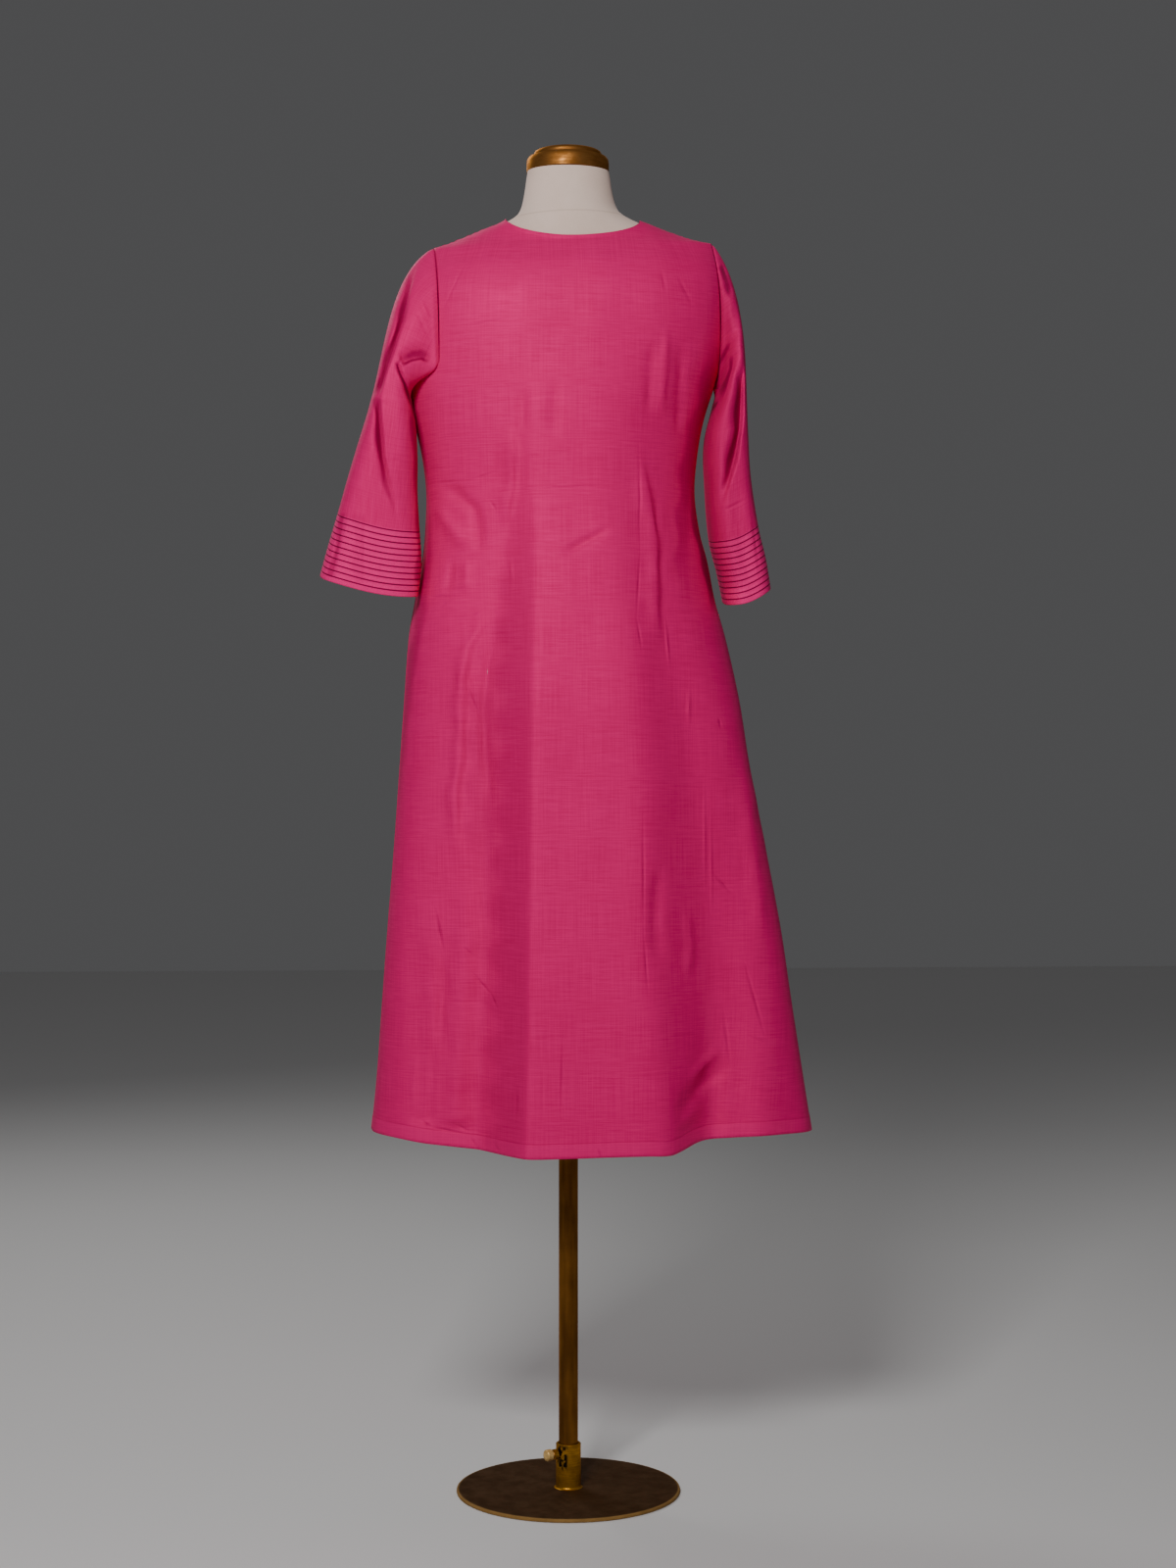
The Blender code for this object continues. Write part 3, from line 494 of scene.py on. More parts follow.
def armholeX(sign, share):
    chest = np.where(sign < 0, *cut["chest"])
    tip = np.where(sign < 0, *cut["tip"])
    under = np.where(sign < 0, eased(bodyRows, cut["underarm"])[0, 1], eased(bodyRows, cut["underarm"])[0, 2])
    part, curve = cut["underCurve"]
    return chest + (under - chest) * np.maximum(1 - share / part, 0.0) ** curve + (tip - chest) * share**3


def panelBase(side, across, up, skirtShare):
    # across runs -1 to 1; up runs 0 to 1, with the underarm at skirtShare
    sign = np.where(across < 0, -1.0, 1.0)
    around = np.sin(across * math.pi / 2)
    hemX = np.where(across < 0, bodyRows[0, 1], bodyRows[0, 2]) * around
    hem = eased(hemRows[side], hemX)[:, 1]
    lower = hem + (cut["underarm"] - hem) * np.minimum(up / skirtShare, 1.0)
    lowX = halfWidth(lower, across) * around
    t = np.clip((up - skirtShare) / (1 - skirtShare), 0, 1)
    share = 1 - (1 - t) ** cut["rise"]
    topX, topZ = topEdge(side, across)
    tip = np.where(across < 0, *cut["tip"])
    slide = smoothStep(0, 1, share)
    highX = armholeX(sign, share) * (around * (1 - slide) + topX / tip * slide)
    high = up > skirtShare
    x = np.where(high, highX, lowX)
    z = np.where(high, cut["underarm"] + (topZ - cut["underarm"]) * share, lower)
    return bodySurface(side, x, z)


# rise is a soft ridge or trough along the path, cusp a sharp one, and lean lifts its right or its upper side; far is
# another width for that side, dark the painted shade laid into the cloth's colour on its other side, in deep folds and
# along shaded edges with no fold, and ends how much of it fades
Fold = namedtuple("Fold", "path width rise lean cusp far dark ends", defaults=(0.0, 0.0, 0.0, 0.0, 0.0, (0.3, 0.3)))
folding = {"waver": 0.18, "waverRate": 0.11, "leanGain": 2.33, "shadeAt": -0.45, "shadeReach": 0.62, "most": 60.0}


def foldHeight(x, z, folds):
    total, shade = np.zeros(len(x)), np.zeros(len(x))
    for number, each in enumerate(folds):
        path = np.array(each.path, float)
        spans = np.linalg.norm(path[1:] - path[:-1], axis=1)
        starts = np.concatenate([[0], np.cumsum(spans)])
        length = starts[-1]
        best = np.full(len(x), 1e9)
        signed, along = np.zeros(len(x)), np.zeros(len(x))
        for k, span in enumerate(spans):
            dx, dz = (path[k + 1] - path[k]) / span
            rx, rz = x - path[k, 0], z - path[k, 1]
            t = np.clip(rx * dx + rz * dz, 0, span)
            away = np.hypot(rx - t * dx, rz - t * dz)
            nearer = away < best
            best = np.where(nearer, away, best)
            signed = np.where(nearer, np.copysign(away, rx * dz - rz * dx), signed)
            along = np.where(nearer, starts[k] + t, along)
        run = path[-1] - path[0]
        toRight = math.copysign(1, run[1]) if abs(run[1]) > abs(run[0]) else -math.copysign(1, run[0])
        taper = smoothStep(0, max(each.ends[0], 0.01) * length, along + 0.001)
        taper = taper * smoothStep(0, max(each.ends[1], 0.01) * length, length - along + 0.001)
        waver = 1 + folding["waver"] * np.sin(along * folding["waverRate"] + number * 1.7)
        signed = signed * toRight
        d = signed / (np.where(signed > 0, each.far or each.width, each.width) * waver)
        bell = np.exp(-np.minimum(d * d, folding["most"]))
        point = np.exp(-np.minimum(np.abs(d), folding["most"]))
        total += taper * (each.rise * bell + each.cusp * point + each.lean * folding["leanGain"] * d * bell)
        # painted shade: how strongly this fold darkens the cloth's colour beside it
        if each.dark:
            band = ((d - folding["shadeAt"]) / folding["shadeReach"]) ** 4
            shade = np.maximum(shade, taper * each.dark * np.exp(-np.minimum(band, folding["most"])))
    return total, shade


def gridPiece(name, rows, columns, place, loop=False):
    # a grid whose columns run -1 to 1 and whose rows run 0 to 1, moved onto a surface
    bm = bmesh.new()
    bmesh.ops.create_grid(bm, x_segments=columns, y_segments=rows, size=1.0)
    bm.verts.ensure_lookup_table()
    flat = np.array([vert.co for vert in bm.verts])
    across, up = flat[:, 0], (flat[:, 1] + 1) / 2
    points, maps = place(across, up)
    for vert, point in zip(bm.verts, points):
        vert.co = point * mm
    for mapName, values in maps.items():
        layer = bm.loops.layers.uv.new(mapName)
        for face in bm.faces:
            for loopEnd in face.loops:
                loopEnd[layer].uv = values[loopEnd.vert.index]
    if loop:
        bmesh.ops.remove_doubles(bm, verts=bm.verts, dist=0.00001)
    bmesh.ops.recalc_face_normals(bm, faces=bm.faces)
    piece = meshPiece(name, bm)
    piece.data.shade_smooth()
    return piece


def clothPiece(name, rows, columns, place, material, loop=False):
    # a thin shell whose wall grows inwards from its outer side
    piece = gridPiece(name, rows, columns, place, loop)
    piece.data.materials.append(material)
    wall = piece.modifiers.new("thickness", "SOLIDIFY")
    wall.thickness = cut["thickness"]
    wall.offset = -1.0
    wall.use_even_offset = False
    return piece


def gridNormals(points, rows, columns, loop=False):
    grid = points.reshape(rows + 1, columns + 1, 3)
    if loop:
        wide = np.concatenate([grid[:, -2:-1], grid, grid[:, 1:2]], axis=1)
        across = wide[:, 2:] - wide[:, :-2]
    else:
        across = np.gradient(grid, axis=1)
    up = np.gradient(grid, axis=0)
    normals = np.cross(across, up)
    normals /= np.maximum(np.linalg.norm(normals, axis=2, keepdims=True), 1e-9)
    return normals.reshape(-1, 3)


def gridOrder(across, up, rows, columns):
    # where each vertex sits when the grid is read row by row
    column = np.rint((across + 1) / 2 * columns).astype(int)
    row = np.rint(up * rows).astype(int)
    return row * (columns + 1) + column


def gridLengths(points, rows, columns):
    # how far along the surface each point lies from the first row and from the first column
    grid = points.reshape(rows + 1, columns + 1, 3)
    up, across = np.zeros((2, rows + 1, columns + 1))
    up[1:] = np.cumsum(np.linalg.norm(np.diff(grid, axis=0), axis=2), axis=0)
    across[:, 1:] = np.cumsum(np.linalg.norm(np.diff(grid, axis=1), axis=2), axis=1)
    return up, across


def clothMaps(order, base, grain, edges, shade):
    # the depth map carries the painted shade from the folds' dark values
    pairs = {"grain": grain, "edges": edges, "plan": (base[:, 0], base[:, 2]), "depth": (shade / mm, shade / mm)}
    return {name: (np.stack(pair, axis=1) * mm)[order] for name, pair in pairs.items()}


# the back: its folds as they show in the photograph, in mm across and above the floor
backFolds = [
    Fold([(-62, 1393), (-63, 1359), (-62, 1335)], 4, rise=-1.76),
    Fold([(-23, 1407), (-23, 1365), (-24, 1323)], 9, rise=-1.95),
    Fold([(-78, 1353), (-72, 1311), (-74, 1267), (-81, 1232), (-92, 1213)], 9, cusp=4.91, lean=-1.62),
    Fold([(-169, 1284), (-149, 1267), (-122, 1243), (-117, 1208), (-115, 1183)], 7, rise=-4.14),
    Fold([(-169, 1260), (-158, 1232), (-140, 1208), (-125, 1190)], 8, rise=3.51),
    Fold([(-133, 1183), (-131, 1160), (-134, 1135)], 7, rise=2.73),
    Fold([(-148, 1183), (-153, 1154), (-155, 1137)], 5, rise=-2.34),
    Fold([(-95, 1124), (-128, 1068), (-135, 1030), (-137, 932), (-143, 890), (-143, 841), (-136, 815),
          (-118, 800)], 8, cusp=4.2, lean=-2.44),
    Fold([(-93, 1097), (-107, 1046), (-112, 993), (-109, 932), (-104, 890), (-101, 849)], 7, cusp=-5.78),
    Fold([(-160, 696), (-161, 660), (-163, 624), (-164, 576)], 6, rise=-3.45),
    Fold([(-128, 805), (-133, 720), (-137, 660), (-140, 588), (-145, 479)], 15, rise=5.17, ends=(0.3, 0.02)),
    Fold([(-195, 744), (-192, 612), (-190, 479)], 15, rise=-3.45, ends=(0.3, 0.02)),
    Fold([(-196, 570), (-198, 497)], 4, rise=1.56),
    Fold([(-172, 588), (-177, 485)], 4, rise=-1.76, ends=(0.3, 0.02)),
    Fold([(-18, 1185), (-1, 1193), (23, 1206), (49, 1220)], 3.2, rise=-3.51, lean=1.3),
    Fold([(83, 1323), (97, 1243), (103, 1200), (103, 1120), (108, 1060)], 9, cusp=5.2, lean=-1.95),
    Fold([(118, 1473), (114, 1419), (110, 1353)], 6, rise=2.54),
    Fold([(98, 1455), (96, 1401), (94, 1353)], 6, rise=-1.95),
    Fold([(137, 1461), (136, 1383), (133, 1329)], 7, rise=-2.54),
    Fold([(138, 750), (144, 702), (138, 654)], 5, rise=2.54),
    Fold([(104, 811), (98, 732), (104, 672)], 8, rise=-3.51),
    Fold([(125, 479), (133, 499), (154, 523), (179, 542), (199, 556)], 13, far=7, rise=-3.8, dark=0.08),
    Fold([(134, 438), (142, 473), (156, 503)], 20, rise=-4.5, ends=(0.02, 0.5)),
    Fold([(138, 535), (159, 554), (185, 573)], 6, rise=3.38),
    # painted shade only, with no fold: the next rows darken the cloth along the right edge beside the sleeve, along the
    # left edge and its lower part, and over the middle's left riser and a stripe beside it
    Fold([(187, 1504), (185, 1455), (174, 1383), (156, 1323), (147, 1238), (144, 1166),
          (156, 1070)], 14, far=20, dark=0.3, ends=(0.25, 0.4)),
    Fold([(161, 1317), (158, 1271), (165, 1220), (174, 1187), (184, 1136),
          (191, 1110)], 8, far=45, dark=0.75, ends=(0.6, 0.2)),
    Fold([(-226, 740), (-238, 600), (-250, 446)], 26, far=24, dark=0.16, ends=(0.5, 0.01)),
    Fold([(-207, 1393), (-195, 1335), (-179, 1262), (-175, 1190), (-183, 1118), (-200, 1022), (-222, 841),
          (-238, 660), (-252, 467)], 10, far=12, dark=0.3, ends=(0.1, 0.02)),
    Fold([(-47, 1299), (-48, 1142), (-53, 1022), (-54, 841), (-58, 660),
          (-62, 441)], 40, far=9, dark=0.17, ends=(0.25, 0.01)),
    Fold([(-100, 1034), (-101, 949), (-100, 853), (-101, 780)], 27, far=8, dark=0.13, ends=(0.15, 0.35)),
    Fold([(215, 949), (224, 829), (240, 684)], 12, rise=3.45),
]
backCreases = [Crease(*row) for row in (
    ((-102, 1253), (-95, 1241), 3.2, -1.06), ((-181, 1297), (-140, 1295), 3.0, -0.65),
    ((-181, 1279), (-127, 1279), 3.0, -0.88), ((-127, 1279), (-94, 1289), 3.0, -0.88),
    ((-187, 1136), (-141, 1134), 3.0, -1.06), ((-165, 1120), (-149, 1131), 3.2, -0.94),
    ((-130, 1107), (-113, 1115), 3.2, -0.82), ((-135, 1030), (-113, 978), 3.2, -1.06),
    ((-78, 1185), (-75, 1144), 4.0, 1.06), ((-171, 747), (-160, 693), 3.7, -2.11),
    ((-135, 700), (-121, 688), 3.0, -1.06), ((-124, 668), (-101, 641), 3.2, -1.64),
    ((-101, 641), (-95, 626), 3.2, -1.64), ((-16, 600), (-19, 497), 3.0, -1.29), ((-72, 537), (-72, 491), 4.0, -1.17),
    ((-187, 484), (-175, 477), 3.0, -1.87), ((-175, 477), (-136, 470), 3.0, -1.87),
    ((-149, 483), (-127, 472), 3.0, -1.06), ((-128, 467), (-118, 450), 4.0, -1.06),
    ((-100, 464), (-90, 448), 4.0, -1.06), ((27, 460), (33, 441), 3.5, -1.4), ((-52, 1265), (56, 1271), 3.0, -0.7),
    ((82, 1325), (83, 1190), 3.0, -1.17), ((83, 1190), (77, 1106), 3.0, -1.17), ((77, 1106), (83, 1066), 3.0, -1.17),
    ((114, 1106), (119, 1044), 3.4, 1.52), ((144, 1018), (143, 973), 4.8, 1.52), ((183, 984), (186, 970), 3.2, -1.4),
    ((83, 865), (83, 720), 3.0, -1.29), ((83, 720), (88, 643), 3.0, -1.29), ((110, 1544), (116, 1513), 4.8, -0.94),
    ((132, 1535), (150, 1500), 4.8, -0.94), ((-130, 1557), (-161, 1490), 3.0, -0.7),
    ((-159, 1464), (-65, 1478), 3.5, -0.59), ((177, 788), (199, 765), 4.8, -1.87),
    ((214, 678), (240, 585), 3.7, -1.52), ((220, 589), (250, 576), 3.4, -1.4), ((187, 617), (195, 554), 4.2, -1.29),
    ((163, 901), (163, 774), 3.2, 0.94), ((171, 865), (172, 738), 3.5, 1.06),
)]
# the dark values paint shade into the folds' colour
frontFolds = [
    Fold([(-96, 1330), (-98, 1200), (-104, 1040), (-112, 860)], 8, 2.4, 2.2, dark=0.16),
    Fold([(92, 1320), (95, 1190), (100, 1050), (108, 900)], 8, 2.2, -2.0, dark=0.13),
    Fold([(-40, 980), (-52, 800), (-60, 620), (-66, 460)], 15, -4.8, far=11, dark=0.18, ends=(0.4, 0.02)),
    Fold([(60, 900), (72, 740), (82, 600), (90, 460)], 16, -5.2, far=12, dark=0.16, ends=(0.4, 0.02)),
    Fold([(10, 760), (12, 620), (14, 460)], 12, 3.4, ends=(0.5, 0.02)),
    Fold([(-160, 900), (-172, 760), (-184, 600), (-192, 470)], 14, -4.0, dark=0.18, ends=(0.4, 0.02)),
    Fold([(176, 940), (190, 780), (206, 620), (222, 470)], 15, -4.4, dark=0.14, ends=(0.4, 0.02)),
    Fold([(-152, 1402), (-128, 1352), (-104, 1304)], 7, -3.2, 1.2, dark=0.22),
    Fold([(152, 1398), (130, 1350), (112, 1306)], 7, -3.0, -1.2, dark=0.18),
    Fold([(-168, 1372), (-142, 1330), (-120, 1296)], 5, -2.0, 0.8, dark=0.12),
    Fold([(-60, 1250), (-20, 1236), (30, 1244)], 5, -1.8, 0.9),
    Fold([(-46, 1120), (-10, 1112), (22, 1120)], 4, 1.2, 0.6),
    Fold([(-120, 1520), (-112, 1470), (-108, 1420)], 8, 1.6, 0.9),
    Fold([(118, 1520), (112, 1466), (110, 1420)], 8, 1.6, -0.9),
]
backPanel = {"rows": 276, "columns": 172, "skirtShare": 0.79}
frontPanel = {"rows": 240, "columns": 130, "skirtShare": 0.79}
# both panels' edges and small unevenness, in mm; sideFade is the share of the width over which folds end at a seam
edging = {"sideFade": 0.12, "ripple": 0.35, "hemStep": 0.45, "neckRoll": 0.5, "pucker": 0.55, "shoulderFrom": 76.0}


def panelPiece(name, side, folds, size, creases=()):
    rows, columns, skirtShare = size["rows"], size["columns"], size["skirtShare"]

    def place(across, up):
        order = gridOrder(across, up, rows, columns)
        back = np.argsort(order)
        base = panelBase(side, across, up, skirtShare)[back]
        normals = gridNormals(base, rows, columns) * -side
        x, z = base[:, 0], base[:, 2]
        sideFade = np.minimum((1 - np.abs(across[back])) / edging["sideFade"], 1.0)
        lift, shade = foldHeight(x, z, folds)
        lift *= sideFade
        ripple = np.sin(x * 0.083 + 1.3 * np.sin(z * 0.011)) * np.sin(z * 0.009 + x * 0.004)
        lift += edging["ripple"] * ripple * sideFade
        fromHem, arc = gridLengths(base, rows, columns)
        middle, fromSide = arc[:, columns // 2:columns // 2 + 1], np.minimum(arc, arc[:, -1:] - arc).reshape(-1)
        hem, top = fromHem.reshape(-1), (fromHem[-1:] - fromHem).reshape(-1)
        ends = np.tile(np.abs(x[-columns - 1:]), rows + 1)
        fromSeam = np.minimum(fromSide, np.where(ends > edging["shoulderFrom"], top, 99.0))
        hemStep = (1 - smoothStep(17.4, 18.6, hem)) * edging["hemStep"]
        neckRoll = (1 - smoothStep(3.5, 5.0, top)) * (1 - smoothStep(74, 80, ends)) * edging["neckRoll"]
        puckers = (1 - smoothStep(1.5, 7.0, top)) * smoothStep(84, 92, ends) * np.sin(x * 0.62 + np.sin(x * 0.21))
        lift += hemStep + neckRoll + puckers * edging["pucker"]
        points = base + normals * lift[:, None]
        maps = clothMaps(order, base, ((arc - middle).reshape(-1), z), (hem, fromSeam), shade)
        return points[order], maps

    return clothPiece(name, rows, columns, place, clothFinish(name + "Slub", creases))


backCloth = panelPiece("backCloth", -1, backFolds, backPanel, backCreases)
frontCloth = panelPiece("frontCloth", 1, frontFolds, frontPanel)
print("back and front made")


# sleeves: angle 0 is the outer edge, a quarter turn on is the back. top, under, aside and fall steer how the cap
# leaves the armhole, facing turns the folds' depth to the back, and even moves rows to the cuff, where the tucks are
sleeveSize = {
    "rows": 196, "columns": 188, "capShare": 0.40, "pull": 0.3, "top": {-1: 0.88, 1: 0.62}, "under": 0.5,
    "aside": 0.3, "fall": 1.3, "facing": 60.0, "square": {"back": 3.3, "front": 2.35}, "even": (0.62, 0.78),
    "tuckRise": 0.55, "capRoll": 1.6, "capRollAt": 6.0, "seamInset": 1.3, "seamShare": 0.004,
}
evenTurn = {}


def squareTurn(square):
    # a squared circle's points, spread evenly along its outline
    if square not in evenTurn:
        turn = np.linspace(0, math.pi / 2, 900)
        x, y = np.cos(turn) ** (2 / square), np.sin(turn) ** (2 / square)
        spans = np.hypot(np.diff(x), np.diff(y) * 0.75)
        arc = np.concatenate([[0], np.cumsum(spans)])
        evenTurn[square] = (arc / arc[-1] * math.pi / 2, x, y)
    return evenTurn[square]


def armholePoint(sign, angle):
    turn = np.mod(angle, 2 * math.pi)
    fromTip = np.where(turn <= math.pi, turn, 2 * math.pi - turn) / math.pi
    table = np.stack([np.arange(11) / 10.0, armholeShares[::-1]], axis=1)
    share = np.clip(eased(table, fromTip)[:, 1], 0, 1)
    out = np.zeros((len(angle), 3))
    for side in (-1, 1):
        here = turn <= math.pi if side < 0 else turn > math.pi
        s = share[here]
        topX, topZ = topEdge(side, np.full(len(s), float(sign)))
        x = sign * armholeX(np.full(len(s), float(sign)), s)
        z = cut["underarm"] + (topZ - cut["underarm"]) * s
        out[here] = bodySurface(side, x, z)
    return out


def tubePoint(sign, height, angle):
    row = eased(sleeveRows[sign], height)
    middle, reach = (row[:, 1] + row[:, 2]) / 2, (row[:, 2] - row[:, 1]) / 2
    c, s = np.cos(angle), np.sin(angle)
    quarter = np.arctan2(np.abs(s), np.abs(c))
    shape = {part: squareTurn(square) for part, square in sleeveSize["square"].items()}
    outX, outY = (
        np.where(s > 0, *(np.interp(quarter, shape[part][0], shape[part][axis]) for part in ("back", "front")))
        for axis in (1, 2)
    )
    x = sign * (middle + reach * np.copysign(outX, c))
    y = (row[:, 3] + row[:, 4]) / 2 - (row[:, 4] - row[:, 3]) / 2 * np.copysign(outY, s)
    z = height + row[:, 5] / 2 * c - row[:, 6] * s
    return np.stack([x, y, z], axis=1)


def sleeveBase(sign, angle, down):
    # down runs from the armhole, 0, to the cuff, 1
    table = sleeveRows[sign]
    top, cuff = table[-1, 0], table[0, 0]
    share = sleeveSize["capShare"]
    t = np.clip(down / share, 0, 1)[:, None]
    start = armholePoint(sign, angle)
    end = tubePoint(sign, np.full(len(angle), top), angle)
    below = tubePoint(sign, np.full(len(angle), top - 8.0), angle)
    arrive = (end - below) / np.linalg.norm(end - below, axis=1, keepdims=True)
    high, low = sleeveSize["top"][sign], sleeveSize["under"]
    outward = (high + low) / 2 + (high - low) / 2 * np.cos(angle)
    leave = np.stack([outward * sign, -sleeveSize["aside"] * np.sin(angle), outward - sleeveSize["fall"]], axis=1)
    leave /= np.linalg.norm(leave, axis=1, keepdims=True)
    pull = np.linalg.norm(end - start, axis=1, keepdims=True) * sleeveSize["pull"]
    first, second = start + leave * pull, end + arrive * pull
    cap = (1 - t) ** 3 * start + 3 * (1 - t) ** 2 * t * first + 3 * (1 - t) * t**2 * second + t**3 * end
    height = top - (top - cuff) * np.clip((down - share) / (1 - share), 0, 1)
    tube = tubePoint(sign, height, angle)
    return np.where((down < share)[:, None], cap, tube)


# the dark values paint shade into the folds and, in rows with no rise, under the sleeve's cap and along its inner edge
# beside the body
leftBack = [
    Fold([(-192, 1559), (-198, 1542), (-205, 1510), (-211, 1478), (-220, 1449), (-229, 1423), (-237, 1396),
          (-242, 1378)], 6, far=2.0, rise=-9.0, dark=0.8, ends=(0.35, 0.12)),
    Fold([(-241, 1385), (-238, 1341), (-235, 1307), (-229, 1278), (-221, 1253),
          (-214, 1219)], 6, far=2.2, rise=-8.0, dark=0.8, ends=(0.1, 0.65)),
    Fold([(-218, 1426), (-213, 1411), (-207, 1399), (-198, 1374),
          (-192, 1344)], 3, far=3, rise=-4.0, dark=0.85, ends=(0.1, 0.3)),
    Fold([(-213, 1423), (-200, 1429), (-188, 1432), (-175, 1426)], 3, far=10, rise=-6.0, ends=(0.12, 0.25)),
    Fold([(-170, 1432), (-187, 1440), (-200, 1438), (-215, 1426)], 8, far=8, dark=0.45),
    Fold([(-172, 1427), (-187, 1432), (-200, 1429), (-215, 1421)], 4, far=3, dark=0.7, ends=(0.3, 0.2)),
    Fold([(-199, 1375), (-193, 1330), (-190, 1290), (-188, 1240), (-186, 1190),
          (-190, 1152)], 6, far=22, dark=0.45, ends=(0.1, 0.02)),
    Fold([(-283, 1240), (-288, 1205), (-299, 1158)], 5, far=2, rise=-1.6, dark=0.45, ends=(0.1, 0.02)),
    Fold([(-258, 1240), (-259, 1150)], 13, far=2, dark=0.12, ends=(0.1, 0.02)),
]
# the dark values paint shade into the folds and into the pocket between sleeve and body
rightBack = [
    Fold([(215, 1437), (214, 1408), (213, 1380), (211, 1345), (205, 1314), (198, 1287), (189, 1260),
          (181, 1238)], 8, far=2.4, rise=-12.0, dark=0.82, ends=(0.25, 0.4)),
    Fold([(205, 1449), (202, 1423), (194, 1395), (187, 1371)], 4, far=3, rise=-4.0, dark=0.75, ends=(0.25, 0.4)),
    Fold([(204, 1462), (194, 1437), (181, 1415)], 5, far=4, rise=-4.0, dark=0.7, ends=(0.25, 0.1)),
    Fold([(182, 1399), (186, 1383), (178, 1366), (170, 1344)], 9, far=5, rise=-7.0, dark=1.0, ends=(0.05, 0.15)),
    Fold([(193, 1559), (199, 1539), (205, 1517)], 6, far=3, rise=-3.0, dark=0.5, ends=(0.1, 0.2)),
    # painted shade only: these two rows darken most of the right sleeve's back, darkest near its top
    Fold([(202, 1556), (207, 1476), (207, 1366), (207, 1268), (211, 1141)], 44, far=30, dark=0.27, ends=(0.05, 0.02)),
    Fold([(197, 1550), (204, 1500), (208, 1435)], 26, far=20, dark=0.36, ends=(0.2, 0.4)),
    Fold([(207, 1512), (208, 1476), (202, 1451)], 6, rise=-3.0),
    Fold([(211, 1476), (213, 1439), (209, 1410)], 5, rise=1.6),
]
leftCreases = [Crease(*row) for row in (
    ((-243, 1380), (-224, 1371), 3.8, 0.84), ((-221, 1418), (-209, 1393), 3.5, 1.2),
    ((-211, 1432), (-216, 1417), 3.2, -1.2), ((-216, 1417), (-211, 1405), 3.2, -1.2),
    ((-216, 1402), (-192, 1349), 4.5, 1.2), ((-210, 1402), (-193, 1356), 4.2, -1.8),
    ((-189, 1507), (-177, 1479), 3.8, 0.72), ((-196, 1493), (-178, 1456), 4.8, -0.72),
    ((-192, 1455), (-175, 1441), 3.8, 0.6), ((-227, 1303), (-209, 1302), 3.5, -0.48),
    ((-284, 1238), (-300, 1155), 4.8, -1.2), ((-258, 1236), (-259, 1150), 4.8, -0.48),
)]
rightCreases = [Crease(*row) for row in (
    ((218, 1395), (226, 1253), 3.8, 0.84), ((181, 1238), (220, 1258), 3.5, -0.9),
    ((225, 1248), (235, 1160), 4.8, -1.32), ((197, 1532), (202, 1515), 4.8, -2.1),
)]
hiddenSleeve = [
    Fold([(210, 1520), (214, 1470), (219, 1410), (226, 1350)], 8, -3.0, 1.4),
    Fold([(196, 1440), (206, 1400), (212, 1350), (214, 1300)], 6, -2.4, 1.2),
    Fold([(190, 1412), (202, 1396), (216, 1390)], 5, -2.2),
    Fold([(238, 1300), (240, 1250), (246, 1200)], 7, -1.6, 0.8),
]


def sleevePiece(name, sign, backMarks, frontMarks, creases):
    rows, columns = sleeveSize["rows"], sleeveSize["columns"]

    def place(across, up):
        order = gridOrder(across, up, rows, columns)
        back = np.argsort(order)
        angle = (-across[back] * sign + 1) * math.pi
        down = 1 - up[back]
        part, reached = sleeveSize["even"]
        down = np.where(down < part, down * reached / part, reached + (down - part) * (1 - reached) / (1 - part))
        base = sleeveBase(sign, angle, down)
        normals = gridNormals(base, rows, columns, loop=True)
        outwards = np.sum((base - sleeveBase(sign, angle + math.pi, down)) * normals, axis=1)
        if outwards[down > 0.5].mean() < 0:
            normals = -normals
        x, z = base[:, 0], base[:, 2]
        seenBack = smoothStep(-0.25, 0.15, np.sin(angle))
        capFade = smoothStep(0.0, 0.06, down)
        backLift, shade = foldHeight(x, z, backMarks)
        lift = (backLift * seenBack + foldHeight(x, z, frontMarks)[0] * (1 - seenBack)) * capFade
        fromCuff, arc = gridLengths(base, rows, columns)
        cuff, top = fromCuff.reshape(-1), (fromCuff[-1:] - fromCuff).reshape(-1)
        phase = (cuff - cloth["tuckFirst"] / mm) / (cloth["tuckStep"] / mm)
        tucked = smoothStep(-0.45, -0.1, phase) * (1 - smoothStep(cloth["tucks"] - 1.0, cloth["tucks"] - 0.8, phase))
        lift += tucked * sleeveSize["tuckRise"] * np.exp(-((phase - np.floor(phase) - 0.17) / 0.13) ** 2)
        capLift = sleeveSize["capRoll"] * np.exp(-((top - sleeveSize["capRollAt"]) / sleeveSize["capRollAt"]) ** 2)
        lean = np.stack([np.zeros(len(x)), np.where(seenBack > 0.5, -1.0, 1.0), np.zeros(len(x))], axis=1)
        inward = normals + lean * sleeveSize["facing"] * np.minimum(np.abs(seenBack - 0.5) * 2, 1.0)[:, None]
        inward /= np.linalg.norm(inward, axis=1, keepdims=True)
        points = base + inward * lift[:, None] + normals * (capLift * capFade)[:, None]
        inset = np.exp(-(down / sleeveSize["seamShare"]) ** 2)
        points -= normals * (inset * sleeveSize["seamInset"])[:, None]
        around = np.where(arc[:, -1:] > 0, arc, 0).reshape(-1)
        # painted shade from the folds' dark values, on the back face only
        return points[order], clothMaps(order, base, (around, -cuff), (cuff, top), shade * seenBack)

    return clothPiece(name, rows, columns, place, clothFinish(name + "Slub", creases, sleeve=True), loop=True)


mirrored = [each._replace(path=[(-x, z) for x, z in each.path], lean=-each.lean) for each in hiddenSleeve]
leftSleeve = sleevePiece("leftSleeve", -1, leftBack, mirrored, leftCreases)
rightSleeve = sleevePiece("rightSleeve", 1, rightBack, hiddenSleeve, rightCreases)
print("sleeves made")


